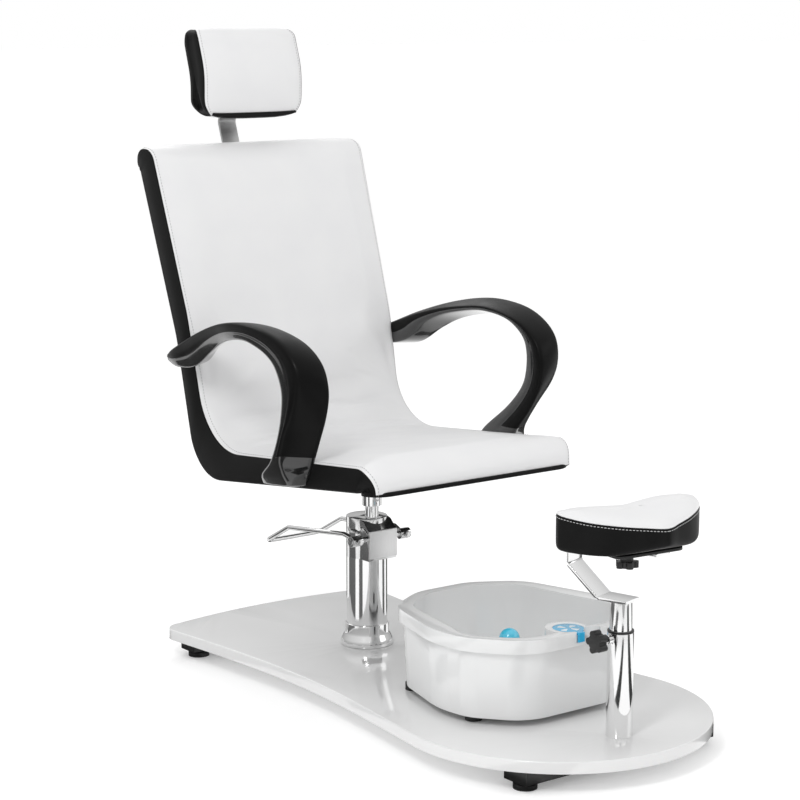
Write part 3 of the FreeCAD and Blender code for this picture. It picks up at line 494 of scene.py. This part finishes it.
SEAT_HALF, TAPER_Z, TAPER = 250.0, 450.0, 15.6 / 575.0
CORNER_R, CORNER_FROM = 45.0, -322.0    # the front corners' radius in plan, and where they begin


def half_width(z):
    """Half width of the seat, and of the back, which widens evenly above TAPER_Z."""
    return SEAT_HALF + max(0.0, z - TAPER_Z) * TAPER


def reach(y, z):
    """Half width of the seat's side at a place, with the front corners rounded in plan."""
    forward = min(max(CORNER_FROM - y, 0.0), CORNER_R - 1.0)
    return half_width(z) - CORNER_R + math.sqrt(CORNER_R ** 2 - forward ** 2)


ACROSS, DOWN, BEHIND = 64, 4, 24        # steps over the crown, down a side and along the hidden back
COVER_GAP = 1.2                         # millimetres between the padding's sides and the cover
SQUARENESS = 14                         # a high power keeps the crown level nearly to the seam
PUFF, PUFF_LOWERED = 5.0, 0.8           # the crown is drawn lower by most of what pressure adds
HELD_EDGE, STITCH_COLUMN, STITCH_FROM = 2, 4, 8
SEAT_CAP, SEAT_PRESSURE = 0.007, 4.0


def cushion_ring(seam, crown, back):
    """One section across the padding, at matching points of its three lines."""
    half = reach(seam.x, seam.y) - COVER_GAP
    shrink = PUFF / max((crown - seam).length, PUFF + 1)
    ring = []
    for k in range(ACROSS + 1):
        v = math.sin(math.pi * (k / ACROSS - 0.5))
        rise = (1 - abs(v) ** SQUARENESS) ** 0.5
        y, z = seam + (crown - seam) * rise * (1 - shrink * PUFF_LOWERED)
        ring.append(at(v * half, y, z))
    for k in range(1, DOWN + 1):
        y, z = seam.lerp(back, k / DOWN)
        ring.append(at(half, y, z))
    for k in range(1, BEHIND):
        ring.append(at((1 - 2 * k / BEHIND) * half, *back))
    for k in range(DOWN, 0, -1):
        y, z = seam.lerp(back, k / DOWN)
        ring.append(at(-half, y, z))
    return ring


def seat_cushion():
    """White padding: level with the seam at the sides, crowned between them."""
    lines = [rounded_line(line, ARCS, LINES) for line in (SEAM, CROWN, BACKING)]
    rings = [cushion_ring(*points) for points in zip(*lines)]
    pad = grid_mesh("seat_cushion", rings)
    width = len(rings[0])
    held = []
    for row in range(len(rings)):
        end_row = row < 2 or row > len(rings) - 3
        for k in range(width):
            if end_row or k <= HELD_EDGE or k >= ACROSS - HELD_EDGE:
                held.append(row * width + k)
    inflate(pad, held, SEAT_CAP, SEAT_PRESSURE)
    for side, index in (("right", STITCH_COLUMN), ("left", ACROSS - STITCH_COLUMN)):
        points, normals = column_of(pad, width, index, STITCH_FROM)
        row_of_stitches("seat_stitching_" + side, points, normals, SEAT_THREAD,
                        "seat", "pale_thread")
    subdivide(pad)
    finish_piece(pad, "seat", "white_vinyl", "white_vinyl", replaces=["seat_back_pad"])


SHELL_TURN, SHELL_THICK = 7.0, 2.6      # the cover's rounded rear corners and its thickness
SHELL_SWELL, FULL_SWELL_DEPTH = 1.8, 60
SIDE_STEPS, TURN_STEPS, REAR_STEPS = 12, 5, 20


def shell_section(seam, hem, skin):
    """Points from the left seam round the back to the right seam, skin mm inside the cover."""
    half = reach(seam.x, seam.y)
    depth = max((seam - hem).length, 0.1)
    turn = min(SHELL_TURN, depth * 0.6)
    forward = (seam - hem).normalized()
    side = []
    for k in range(SIDE_STEPS + 1):
        share = k / SIDE_STEPS
        y, z = seam.lerp(hem + forward * turn, share)
        swell = SHELL_SWELL * math.sin(math.pi * share) * min(1.0, depth / FULL_SWELL_DEPTH)
        side.append((half + (swell - skin), y, z))
    for k in range(1, TURN_STEPS + 1):
        angle = math.pi / 2 * k / TURN_STEPS
        y, z = hem + forward * (turn - (turn - skin) * math.sin(angle))
        side.append((half - turn + (turn - skin) * math.cos(angle), y, z))
    wide = half - turn
    rear_y, rear_z = hem + forward * skin
    rear = [(wide * (1 - 2 * k / REAR_STEPS), rear_y, rear_z) for k in range(1, REAR_STEPS)]
    whole = side + rear + [(-x, y, z) for x, y, z in side[::-1]]
    return [at(*p) for p in whole]


def seat_shell():
    """Black cover: both side panels, wrapped round the rear corners and across the back."""
    seam = rounded_line(SEAM, ARCS, LINES)
    hem = rounded_line(SHELL, ARCS, LINES)
    rings = []
    for s, h in zip(seam, hem):
        rings.append(shell_section(s, h, 0.0) + shell_section(s, h, SHELL_THICK)[::-1])
    cover = grid_mesh("seat_black_cover", rings)
    subdivide(cover)
    finish_piece(cover, "seat", "black_vinyl", "black_vinyl",
                 replaces=["side_panels", "rear_cover"])


BAND = [(-359.0, 395.0, 3.0), (-342, 395.0, 1.5), (-342, 404.0, 1.5), (-359.0, 404.0, 3.0)]
BAND_SHORT = 4.0                        # the band ends this much inside the seat's sides


def seat_front_band():
    """Thin black strip that closes the cover under the front edge and round its corners."""
    section = closed_line(BAND, 3, 2)
    half = SEAT_HALF - BAND_SHORT
    straight = SEAT_HALF - CORNER_R
    middle = [straight * (k / 3 - 1) for k in range(7)]
    corner = [straight + (half - straight) * k / 6 for k in range(1, 7)]
    rings = []
    for x in [-c for c in corner[::-1]] + middle + corner:
        back = CORNER_R - math.sqrt(CORNER_R ** 2 - max(abs(x) - straight, 0.0) ** 2)
        rings.append([at(x, y + back, z) for y, z in section])
    band = grid_mesh("seat_front_band", rings)
    finish_piece(band, "seat", "black_vinyl", "black_vinyl")


# ---------------------------------------------------------------- armrests
# Left arm, foot to wing.  Four corners a station: inner and outer edge of the face away from the
# loop, then outer and inner edge of the face inside the loop.
ARM = [
    [(246, -142, 386), (286, -130, 388), (286, -48, 380), (246, -40, 378)],
    [(246, -158, 409), (300, -140, 411), (300, -64, 402), (246, -46, 400)],
    [(247, -170, 436), (305, -137, 440), (305, -103, 434), (247, -74, 436)],
    [(258, -206, 488), (314, -166, 492), (314, -141, 487), (258, -134, 486)],
    [(262, -230, 536), (321, -201, 540), (321, -163, 540), (262, -177, 535)],
    [(262, -237, 582), (323, -218, 583), (323, -165, 583), (262, -190, 585)],
    [(262, -221, 625), (323, -213, 628), (323, -144, 621), (262, -182, 627)],
    [(262, -182, 655), (323, -180, 661), (323, -118, 640), (262, -150, 654)],
    [(262, -129, 673), (323, -122, 684), (323, -85, 652), (262, -110, 668)],
    [(262, -55, 683), (322, -42, 692), (322, -42, 660), (262, -50, 673)],
    [(261, 16, 677), (317, 30, 687), (316, 14, 655), (261, 4, 668)],
    [(258, 90, 664), (306, 100, 672), (304, 72, 640), (258, 84, 651)],
    [(252, 165, 644), (297, 168, 650), (295, 126, 614), (252, 150, 624)],
    [(250, 225, 623), (292, 225, 626), (292, 188, 580), (250, 196, 588)],
    [(250, 283, 603), (290, 276, 602), (290, 254, 571), (250, 258, 572)],
    [(252, 314, 590), (282, 304, 589), (282, 298, 577), (252, 306, 577)],
]
ARM_STEPS = 5                           # sections from one station to the next
PAD_FROM, PAD_TO = 2.2, 15.4            # the stations between which the satin pad lies
GROOVE = 1.6                            # the parting line's depth in millimetres
SECTION_SCALE = 1.05
FACE_SWELLS = (4.0, 2.0, 1.0, 2.0)
FACE_POINTS, FACE_MARGIN, FACE_SHARE = 7, 0.14, 0.72
CORNER_SHARES = (0.3, 0.5, 0.7)
GROOVED_FACES, GROOVE_POINT = (1, 3), 3
FACE_SPOTS = FACE_POINTS + len(CORNER_SHARES)
END_SIZES = ((0.45, 1.0), (0.78, 0.72), (0.94, 0.35))    # (scale, share of the end's bulge)


def between(stations, where):
    """Station corners at a place along the arm, on a smooth curve through the stations."""
    i = min(int(where), len(stations) - 2)
    t = where - i
    near = [stations[max(0, min(len(stations) - 1, i + k))] for k in (-1, 0, 1, 2)]
    corners = []
    for c in range(4):
        corners.append(smooth_point(*(Vector(station[c]) for station in near), t))
    return corners


def arm_ring(corners, groove):
    """Closed section through four corners: broad crowned face, tight corners, a parting line."""
    middle = sum(corners, Vector()) / 4
    corners = [middle + (p - middle) * SECTION_SCALE for p in corners]
    sides = []
    for i in range(4):
        a, b = corners[i], corners[(i + 1) % 4]
        out = ((a + b) / 2 - middle).normalized()
        side = []
        for k in range(FACE_POINTS):
            t = FACE_MARGIN + FACE_SHARE * k / (FACE_POINTS - 1)
            bulge = FACE_SWELLS[i] * 4 * t * (1 - t)
            if i in GROOVED_FACES and k == GROOVE_POINT:
                bulge -= groove
            side.append(a.lerp(b, t) + out * bulge)
        sides.append(side)
    ring = []
    for i in range(4):
        following = sides[(i + 1) % 4]
        end, corner, begin = sides[i][-1], corners[(i + 1) % 4], following[0]
        ring += sides[i]
        for t in CORNER_SHARES:
            ring.append(end * (1 - t) ** 2 + corner * 2 * t * (1 - t) + begin * t * t)
    return ring


def end_rounding(rings, end, inner, bulge):
    """Smaller rings that round off one end by so many millimetres, smallest first."""
    ring, inward = rings[end], rings[inner]
    middle = sum(ring, Vector()) / len(ring)
    way = (middle - sum(inward, Vector()) / len(inward)).normalized()
    extra = []
    for size, share in END_SIZES:
        extra.append([middle + (p - middle) * size + way * bulge * share for p in ring])
    return extra


def colour_arm(arm, n):
    """Satin pad (slot 0) outside the parting lines, along the loop; glossy shell (slot 1) inside."""
    first_groove, second_groove = (face * FACE_SPOTS + GROOVE_POINT for face in GROOVED_FACES)
    for face in arm.data.polygons:
        if len(face.vertices) > 4:
            face.material_index = 1
            continue
        row = min(face.vertices) // n
        spots = sorted(v % n for v in face.vertices)
        spot = spots[0] if spots[-1] - spots[0] < n / 2 else n - 1
        along = (row - len(END_SIZES)) / ARM_STEPS
        outside = spot < first_groove or spot >= second_groove
        face.material_index = 0 if outside and PAD_FROM <= along < PAD_TO else 1


def armrest(name, sign, replaced):
    """Bowed arm, the sitter's left with sign 1 and right with sign -1: a satin pad on a glossy shell."""
    rings = []
    for i in range((len(ARM) - 1) * ARM_STEPS + 1):
        where = i / ARM_STEPS
        groove = GROOVE if PAD_FROM <= where <= PAD_TO else 0.0
        rings.append(arm_ring(between(ARM, where), groove))
    rings = end_rounding(rings, 0, 1, 5.0) + rings + end_rounding(rings, -1, -2, 8.0)[::-1]
    arm = grid_mesh(name, [[at(sign * p.x, p.y, p.z) for p in ring] for ring in rings])
    colour_arm(arm, len(rings[0]))
    subdivide(arm)
    finish_piece(arm, "seat", "arm_pu", "arm_pad", "arm_shell", replaces=[replaced])


# ---------------------------------------------------------------- headrest
HEAD_SIDE = [(396, 1062, 14), (436, 1060, 16), (456, 1086, 30), (456, 1142, 150), (479, 1216, 40),
             (472, 1248, 16), (424, 1248, 32), (394, 1160, 160)]
HEAD_HALF, HEAD_LOW, HEAD_TOP = 124.0, 1060.0, 1248.0
LOW_RADIUS, TOP_RADIUS = 40.0, 18.0     # the corners seen from the front
HEAD_ACROSS, HEAD_PILE = 40, 4.0        # steps over the cushion, and its crown in millimetres
HEAD_GAP, HEAD_EDGE_INSET = 0.8, 5.0
HEAD_CAP, HEAD_PRESSURE = 0.004, 3.0
FACE_Y, FACE_LOW = 440, 1066            # the face lies before the one and above the other
HELD_Y, HELD_LOW = 447, 1070            # the hidden back and the underside don't swell
THREAD_Y, THREAD_LOW = 441, 1072        # threads keep before the one and above the other
MIN_SPACING = 0.3

# A side panel's rings, from its hidden edge to its middle: (inset, distance out from the side).
PANEL_RINGS = ((9.0, -5.0), (4.6, -3.6), (3.6, -2.0), (3.9, -0.6), (5.0, 0.2),
               (7.0, 0.6), (12.0, 1.1), (19.0, 1.4))
SHRINK_FROM, SHRINK_LENGTH = 8.0, 24.0  # past the first inset, rings are drawn to the middle line

STRIP = [(390, 1062, 3), (393, 1071, 3), (448, 1074, 6), (440, 1058.5, 8), (397, 1058.5, 6)]
STRIP_Z, STRIP_SHORT = 1066, 1.0
STRIP_PLACES = (-1, -0.9, -0.75, -0.5, -0.25, 0, 0.25, 0.5, 0.75, 0.9, 1)


def head_half(z):
    """Half width seen from the front, with rounded lower and upper corners."""
    low, high = z - HEAD_LOW, HEAD_TOP - z
    half = HEAD_HALF
    for edge, radius in ((low, LOW_RADIUS), (high, TOP_RADIUS)):
        edge = max(edge, 0.0)
        if edge < radius:
            half -= radius - math.sqrt(radius ** 2 - (radius - edge) ** 2)
    return half


def inset_line(points, distance):
    """A closed (y, z) line moved inward by so many millimetres."""
    n = len(points)
    area = sum(points[i].x * points[(i + 1) % n].y - points[(i + 1) % n].x * points[i].y
               for i in range(n))
    sign = 1 if area > 0 else -1
    moved = []
    for i, p in enumerate(points):
        run = points[(i + 1) % n] - points[i - 1]
        run = run.normalized() if run.length > 1e-6 else Vector((1, 0))
        moved.append(p + Vector((-run.y, run.x)) * sign * distance)
    return moved


def head_profile():
    """Side outline without doubled points."""
    line = closed_line(HEAD_SIDE, 8, 6)
    kept = [line[0]]
    for p in line[1:]:
        if (p - kept[-1]).length > MIN_SPACING:
            kept.append(p)
    return kept


def head_cushion(profile):
    """White cushion, crowned on its face and drawn in a little at its sides."""
    rings = []
    for k in range(HEAD_ACROSS + 1):
        v = math.sin(math.pi * (k / HEAD_ACROSS - 0.5))
        inset = HEAD_EDGE_INSET * (1 - (1 - abs(v) ** 8) ** 0.5)
        ring = []
        for y, z in inset_line(profile, inset):
            front = ramp(FACE_Y - y, 40) * ramp(z - FACE_LOW, 30)
            ring.append(at(v * (head_half(z) - HEAD_GAP), y - HEAD_PILE * front * (1 - v ** 4), z))
        rings.append(ring)
    pad = grid_mesh("headrest_cushion", rings)
    n = len(profile)
    held = [row * n + k for row in range(HEAD_ACROSS + 1) for k in range(n)
            if not 3 <= row <= HEAD_ACROSS - 3 or profile[k].x > HELD_Y or profile[k].y < HELD_LOW]
    inflate(pad, held, HEAD_CAP, HEAD_PRESSURE)
    head_stitching(pad, profile)
    subdivide(pad)
    finish_piece(pad, "headrest", "white_vinyl", "white_vinyl", replaces=["headrest_pad"])


def head_stitching(pad, profile):
    """Threads up the cushion's face beside each side panel."""
    n, verts = len(profile), pad.data.vertices
    front = [k for k in range(n) if profile[k].x < THREAD_Y and profile[k].y > THREAD_LOW]
    front.sort(key=lambda k: profile[k].y)
    for side, row in (("right", STITCH_COLUMN), ("left", HEAD_ACROSS - STITCH_COLUMN)):
        points = [verts[row * n + k].co.copy() for k in front]
        normals = [verts[row * n + k].normal.copy() for k in front]
        row_of_stitches("headrest_stitching_" + side, points, normals, HEAD_THREAD,
                        "headrest", "pale_thread")


def head_panel(name, profile, sign):
    """Black side panel: flat pillow with its edge turned over the cushion's side."""
    rings = []
    for inset, out in PANEL_RINGS:
        line = inset_line(profile, inset) if inset <= SHRINK_FROM else shrunk(profile, inset)
        rings.append([at(sign * (head_half(z) + out), y, z) for y, z in line])
    panel = grid_mesh(name, rings)
    subdivide(panel)
    finish_piece(panel, "headrest", "black_vinyl", "black_vinyl",
                 replaces=["headrest_side_panels"])


def middle_line(z):
    """Y of the line halfway between the headrest's face and its back."""
    return 423.0 + 30.0 * max(0.0, (z - 1090.0) / 150.0) ** 1.3


def shrunk(points, distance):
    """The line drawn toward its middle line instead of offset, which stays free of crossings."""
    result = []
    share = min(1.0, (distance - SHRINK_FROM) / SHRINK_LENGTH)
    for p in inset_line(points, SHRINK_FROM):
        z = min(max(p.y, HEAD_LOW + distance), HEAD_TOP - distance)
        result.append(Vector((p.x + (middle_line(z) - p.x) * share, z)))
    return result


def head_strip():
    """Black strip across the cushion's underside, thinner and higher toward its ends."""
    line = closed_line(STRIP, 3, 2)
    half = head_half(STRIP_Z) - STRIP_SHORT
    rings = []
    for share in STRIP_PLACES:
        thin = 1.0 - 0.55 * abs(share) ** 4
        height = STRIP_Z + 4.0 * abs(share) ** 4
        rings.append([at(share * half, y, height + (z - STRIP_Z) * thin) for y, z in line])
    strip = grid_mesh("headrest_strip", rings)
    finish_piece(strip, "headrest", "black_vinyl", "black_vinyl")


def headrest():
    """White cushion between two black side panels, with a black strip under it."""
    profile = head_profile()
    head_cushion(profile)
    head_panel("headrest_panel_left", profile, 1)
    head_panel("headrest_panel_right", profile, -1)
    head_strip()


# ---------------------------------------------------------------- leg rest's pad
PAD_HALF = [(0, -892), (38, -877), (82, -856), (123, -826), (147, -785), (145, -762), (128, -743),
            (102, -734), (51, -739), (0, -748)]
POST_Y, PAD_TURN = -763.0, -5.0
PAD_MIDDLE = Vector((0, -796))
PAD_POINT_Y, LOBE_X = -892, 147         # the heart's point, and its lobes' half width
UNDER_RISE_Y = -842                     # forward of this the underside curves up
HEART_STEPS = 14
PAD_PILE, PAD_TOP_RINGS = 12.0, 14
PAD_CAP, PAD_PRESSURE = 0.004, 3.0


def heart():
    """Closed outline through the half outline's points and their mirror images."""
    right = [Vector(p) for p in PAD_HALF]
    loop = right + [Vector((-p.x, p.y)) for p in right[-2:0:-1]]
    n, line = len(loop), []
    for i in range(n):
        p0, p1, p2, p3 = loop[i - 1], loop[i], loop[(i + 1) % n], loop[(i + 2) % n]
        for k in range(HEART_STEPS):
            line.append(smooth_point(p0, p1, p2, p3, k / HEART_STEPS))
    return line


def pad_point(x, y, z):
    """A point of the pad, turned with it on the post."""
    c, s = math.cos(math.radians(PAD_TURN)), math.sin(math.radians(PAD_TURN))
    dy = y - POST_Y
    return at(x * c - dy * s, POST_Y + x * s + dy * c, z)


def seam_z(x, y):
    """Height of the seam, which rises behind the point and toward the two lobes' sides."""
    return 406.0 + 10.0 * ramp(y - PAD_POINT_Y, 120) + 9.0 * abs(x / LOBE_X) ** 1.5


def under_z(x, y):
    """Underside of the pad, rising toward its point and its sides."""
    rise = max(0.0, UNDER_RISE_Y - y) / 50
    return 355.8 + 18.0 * rise ** 1.3 + 4.0 * abs(x / LOBE_X) ** 2


def pad_rings(outline, shape):
    """Outlines scaled about the pad's middle, one at each (scale, lift, base height) step."""
    rings = []
    for scale, lift, base in shape:
        ring = []
        for p in outline:
            q = PAD_MIDDLE + (p - PAD_MIDDLE) * scale
            ring.append(pad_point(q.x, q.y, base(q.x, q.y) + lift))
        rings.append(ring)
    return rings


def pad_band(outline):
    """Black underside and side band, turned in under the white top's edge."""
    band = pad_rings(outline, [
        (0.55, 0.0, under_z), (0.88, 0.0, under_z), (0.955, 0.6, under_z), (0.985, 3.5, under_z),
        (0.997, 9.0, under_z), (1.0, 17.0, under_z), (1.0, -14.0, seam_z), (0.999, -6.0, seam_z),
        (0.996, -1.6, seam_z), (0.985, 0.4, seam_z), (0.95, -1.0, seam_z), (0.8, -3.0, seam_z)])
    side = grid_mesh("leg_pad_band", band)
    subdivide(side)
    finish_piece(side, "leg_pad", "black_vinyl", "black_vinyl", replaces=["leg_pad"])


def pad_cushion(outline):
    """White crowned top, whose edge lies on the band's seam."""
    edge = [(0.9, -6.0, seam_z), (0.975, -4.0, seam_z), (0.990, -0.6, seam_z), (0.999, 1.2, seam_z)]
    crown = []
    for k in range(1, PAD_TOP_RINGS + 1):
        scale = math.cos(math.pi / 2 * k / (PAD_TOP_RINGS + 1.5))
        crown.append((scale, 1.2 + PAD_PILE * (1 - scale ** 5) ** 0.55, seam_z))
    top = grid_mesh("leg_pad_cushion", pad_rings(outline, edge + crown))
    inflate(top, list(range(len(edge) * len(outline))), PAD_CAP, PAD_PRESSURE)
    subdivide(top)
    finish_piece(top, "leg_pad", "white_vinyl", "white_vinyl", replaces=["leg_pad"])


def pad_stitching(outline):
    """White threads round the band, below the seam."""
    middle = pad_point(PAD_MIDDLE.x, PAD_MIDDLE.y, 390)
    line = pad_rings(outline, [(1.0, -5.0, seam_z)])[0]
    line.append(line[0].copy())
    outward = [(p - middle).normalized() for p in line]
    for way in outward:
        way.z = 0.0
        way.normalize()
    row_of_stitches("leg_pad_stitching", line, outward, LEG_THREAD, "leg_pad", "white_thread")


def leg_pad():
    """Heart-shaped pad: black band, white top and the threads between them."""
    outline = heart()
    pad_band(outline)
    pad_cushion(outline)
    pad_stitching(outline)


# ---------------------------------------------------------------- carried-over nodes
SHARP_EDGE = math.radians(32)
BEVEL_EDGE = math.radians(40)
BEVEL_STEPS = 3
WELD_LENGTH = 0.000005


def smooth_group():
    """Geometry nodes that smooth a mesh except across its sharp edges."""
    group = bpy.data.node_groups.new("smooth_by_angle", "GeometryNodeTree")
    group.interface.new_socket("Geometry", in_out="INPUT", socket_type="NodeSocketGeometry")
    group.interface.new_socket("Geometry", in_out="OUTPUT", socket_type="NodeSocketGeometry")
    start = group.nodes.new("NodeGroupInput")
    end = group.nodes.new("NodeGroupOutput")
    angle = group.nodes.new("GeometryNodeInputMeshEdgeAngle")
    flat = group.nodes.new("FunctionNodeCompare")
    flat.data_type = "FLOAT"
    flat.operation = "LESS_THAN"
    flat.inputs["B"].default_value = SHARP_EDGE
    group.links.new(angle.outputs["Unsigned Angle"], flat.inputs["A"])
    faces = group.nodes.new("GeometryNodeSetShadeSmooth")
    edges = group.nodes.new("GeometryNodeSetShadeSmooth")
    edges.domain = "EDGE"
    faces.inputs["Shade Smooth"].default_value = True
    group.links.new(start.outputs["Geometry"], faces.inputs["Geometry"])
    group.links.new(faces.outputs["Geometry"], edges.inputs["Geometry"])
    group.links.new(flat.outputs["Result"], edges.inputs["Shade Smooth"])
    group.links.new(edges.outputs["Geometry"], end.inputs["Geometry"])
    return group


SMOOTH = smooth_group()


def dress(node, mat, bevel):
    """Gives a CAD node its material, edges eased by bevel millimetres, and smooth shading."""
    obj = NODES[node]
    for i in range(max(1, len(obj.material_slots))):
        if not obj.material_slots:
            obj.data.materials.append(MATS[mat])
        obj.material_slots[i].material = MATS[mat]
    weld = obj.modifiers.new("weld", "WELD")
    weld.merge_threshold = WELD_LENGTH
    if bevel > 0:
        easing = obj.modifiers.new("easing", "BEVEL")
        easing.width = bevel / 1000
        easing.segments = BEVEL_STEPS
        easing.limit_method = "ANGLE"
        easing.angle_limit = BEVEL_EDGE
        easing.use_clamp_overlap = True
        easing.harden_normals = False
    shading = obj.modifiers.new("shading", "NODES")
    shading.node_group = SMOOTH


# Each material's CAD nodes, with the width in millimetres by which their edges are eased.
FINISH = {
    "white_lacquer": [("platform_board", 0.8)],
    "black_paint": [("front_cross_tube", 1.2), ("rear_cross_tube", 1.2), ("frame_rails", 1.2),
                    ("pump_base_plate", 0.5), ("seat_mount_plate", 0.8), ("seat_frame_bars", 0.8),
                    ("headrest_sleeve", 0.8), ("leg_pad_plate", 0.6)],
    "black_plastic": [("tube_end_caps", 0.8), ("post_guide_bush", 0.4), ("headrest_knob", 1.5),
                      ("post_knob", 1.5), ("leg_tube_glide", 0.3), ("leg_pad_knob", 1.5),
                      ("bath_inlet", 0.4)],
    "chrome": [("base_escutcheon", 1.0), ("column_cover_tube", 0.0), ("leg_post_tube", 0.3),
               ("pedal_collars", 0.8), ("pedal_loop", 0.0), ("lift_piston", 0.6),
               ("seat_socket", 0.8), ("leg_inner_tube", 0.8), ("leg_bracket", 0.6)],
    "brushed": [("hydraulic_cylinder", 0.5), ("headrest_bar", 0.4)],
    "plate": [("head_front_plate", 0.5)],
    "head_grey": [("pump_head", 1.2)],
    "zinc": [("board_screws", 0.2), ("pump_base_bolts", 0.4), ("post_fixing_bolt", 0.4),
             ("pedal_shaft", 0.5), ("pedal_set_screws", 0.5), ("pump_plunger", 0.3),
             ("socket_set_screw", 0.2), ("seat_bolts", 0.4), ("sleeve_screws", 0.3),
             ("leg_pad_screws", 0.3), ("bath_motor", 0.6)],
    "plywood": [("back_board", 0.5)],
    "black_vinyl": [("headrest_board", 1.2), ("seat_board", 0.5)],
    "rubber": [("levelling_foot_front_left", 0.8), ("levelling_foot_front_right", 0.8),
               ("levelling_foot_rear_left", 0.8), ("levelling_foot_rear_right", 0.8),
               ("bath_feet", 0.8)],
    "bath_white": [("bath_shell", 0.6), ("bath_basin", 2.2)],
    "bath_blue": [("bath_dome", 0.0)],
    "control": [("bath_control", 0.8)],
}


def dress_all():
    """Dresses every CAD node in FINISH."""
    for mat, rows in FINISH.items():
        for node, bevel in rows:
            dress(node, mat, bevel)


# ---------------------------------------------------------------- studio
FLOOR_HALF = 60.0                       # metres
CARD_NEAR, CARD_FAR, CARD_HEIGHT, CARD_STEPS = 0.36, 7.0, 0.002, 8
AIM = Vector((0, 0, 0.6))               # where the softboxes point
CAMERA_PLACE = (-2.708, -3.474, 1.359)
CAMERA_TILT, CAMERA_HEADING, CAMERA_LENS = 0.172, 0.6514, 102.7


def studio_floor():
    """A wide pale matt floor, lit a little from itself so that it fades into the surround."""
    mesh = bpy.data.meshes.new("studio_floor")
    corners = [(x * FLOOR_HALF, y * FLOOR_HALF, 0) for x, y in ((-1, -1), (1, -1), (1, 1), (-1, 1))]
    mesh.from_pydata(corners, [], [(0, 1, 2, 3)])
    floor = link_object("studio_floor", mesh)
    mat, tree, shader, place = new_material("studio_floor")
    colours(tree, noise(tree, place, 2), grey(0.86), grey(0.85), shader.inputs["Base Color"])
    shader.inputs["Roughness"].default_value = 0.9
    shader.inputs["Specular IOR Level"].default_value = 0.0
    shader.inputs["Emission Color"].default_value = (1, 1, 1, 1)
    shader.inputs["Emission Strength"].default_value = 0.25
    mesh.materials.append(mat)


def card_material(name, value):
    """Plain matt grey card."""
    mat = bpy.data.materials.new(name)
    mat.use_nodes = True
    shader = mat.node_tree.nodes["Principled BSDF"]
    shader.inputs["Base Color"].default_value = (*grey(value), 1)
    shader.inputs["Roughness"].default_value = 0.9
    return mat


def reflection_cards():
    """Cards on the floor, fanned out round the column, that only mirror surfaces see."""
    dark, mid = card_material("dark_card", 0.01), card_material("grey_card", 0.10)
    # (direction from the front, half width, both in degrees, material)
    fan = ((-19, 6, dark), (24, 8, dark), (112, 13, dark), (168, 12, dark), (-128, 26, mid),
           (-70, 10, mid), (68, 9, mid))
    for i, (middle, half_width_deg, mat) in enumerate(fan):
        verts, faces = [], []
        for k in range(CARD_STEPS + 1):
            angle = math.radians(middle + half_width_deg * (2 * k / CARD_STEPS - 1))
            for radius in (CARD_NEAR, CARD_FAR):
                x, y = radius * math.sin(angle), -radius * math.cos(angle)
                verts.append((x, y + COLUMN_Y / 1000, CARD_HEIGHT))
        for k in range(CARD_STEPS):
            faces.append((2 * k, 2 * k + 1, 2 * k + 3, 2 * k + 2))
        mesh = bpy.data.meshes.new("card_%d" % i)
        mesh.from_pydata(verts, [], faces)
        mesh.materials.append(mat)
        card = link_object("card_%d" % i, mesh)
        card.visible_camera = False
        card.visible_diffuse = False
        card.visible_shadow = False
        card.visible_transmission = False


def softbox(name, place, size, power):
    """A rectangular light (metres, watts) aimed at the chair."""
    light = bpy.data.lights.new(name, "AREA")
    light.shape = "RECTANGLE"
    light.size, light.size_y = size
    light.energy = power
    obj = link_object(name, light)
    obj.location = place
    way = AIM - Vector(place)
    obj.rotation_euler = way.to_track_quat("-Z", "Y").to_euler()


def overhead_glow(tree):
    """A white surround that is brightest overhead, like a softbox ceiling."""
    back = tree.nodes["Background"]
    place = tree.nodes.new("ShaderNodeTexCoord")
    split = tree.nodes.new("ShaderNodeSeparateXYZ")
    rise = tree.nodes.new("ShaderNodeMapRange")
    path = tree.nodes.new("ShaderNodeLightPath")
    seen = tree.nodes.new("ShaderNodeMix")
    tree.links.new(place.outputs["Generated"], split.inputs["Vector"])
    tree.links.new(split.outputs["Z"], rise.inputs["Value"])
    rise.inputs["To Min"].default_value = 0.42
    rise.inputs["To Max"].default_value = 1.12
    tree.links.new(path.outputs["Is Camera Ray"], seen.inputs["Factor"])
    tree.links.new(rise.outputs["Result"], seen.inputs["A"])
    seen.inputs["B"].default_value = 1.0
    tree.links.new(seen.outputs["Result"], back.inputs["Strength"])
    back.inputs["Color"].default_value = (1, 1, 1, 1)


def studio():
    """Floor, cards, surround and three softboxes."""
    studio_floor()
    reflection_cards()
    world = bpy.data.worlds.new("studio")
    bpy.context.scene.world = world
    world.use_nodes = True
    overhead_glow(world.node_tree)
    softbox("key_light", (-2.2, -1.4, 2.8), (0.5, 1.0), 30)
    softbox("fill_light", (2.6, -2.2, 2.0), (2.0, 1.4), 9)
    softbox("rear_light", (0.6, 2.6, 2.4), (2.4, 1.2), 16)


def camera():
    """Looks from the sitter's right front, slightly down."""
    data = bpy.data.cameras.new("camera")
    data.sensor_width = 36.0
    data.lens = CAMERA_LENS
    cam = link_object("camera", data)
    cam.location = CAMERA_PLACE
    cam.rotation_euler = (math.pi / 2 - CAMERA_TILT, 0.0, -CAMERA_HEADING)
    bpy.context.scene.camera = cam


camera()
studio()
dress_all()
seat_cushion()
seat_shell()
seat_front_band()
armrest("armrest_left_finished", 1, "armrest_left")
armrest("armrest_right_finished", -1, "armrest_right")
headrest()
leg_pad()

bpy.context.scene.view_settings.view_transform = "Standard"
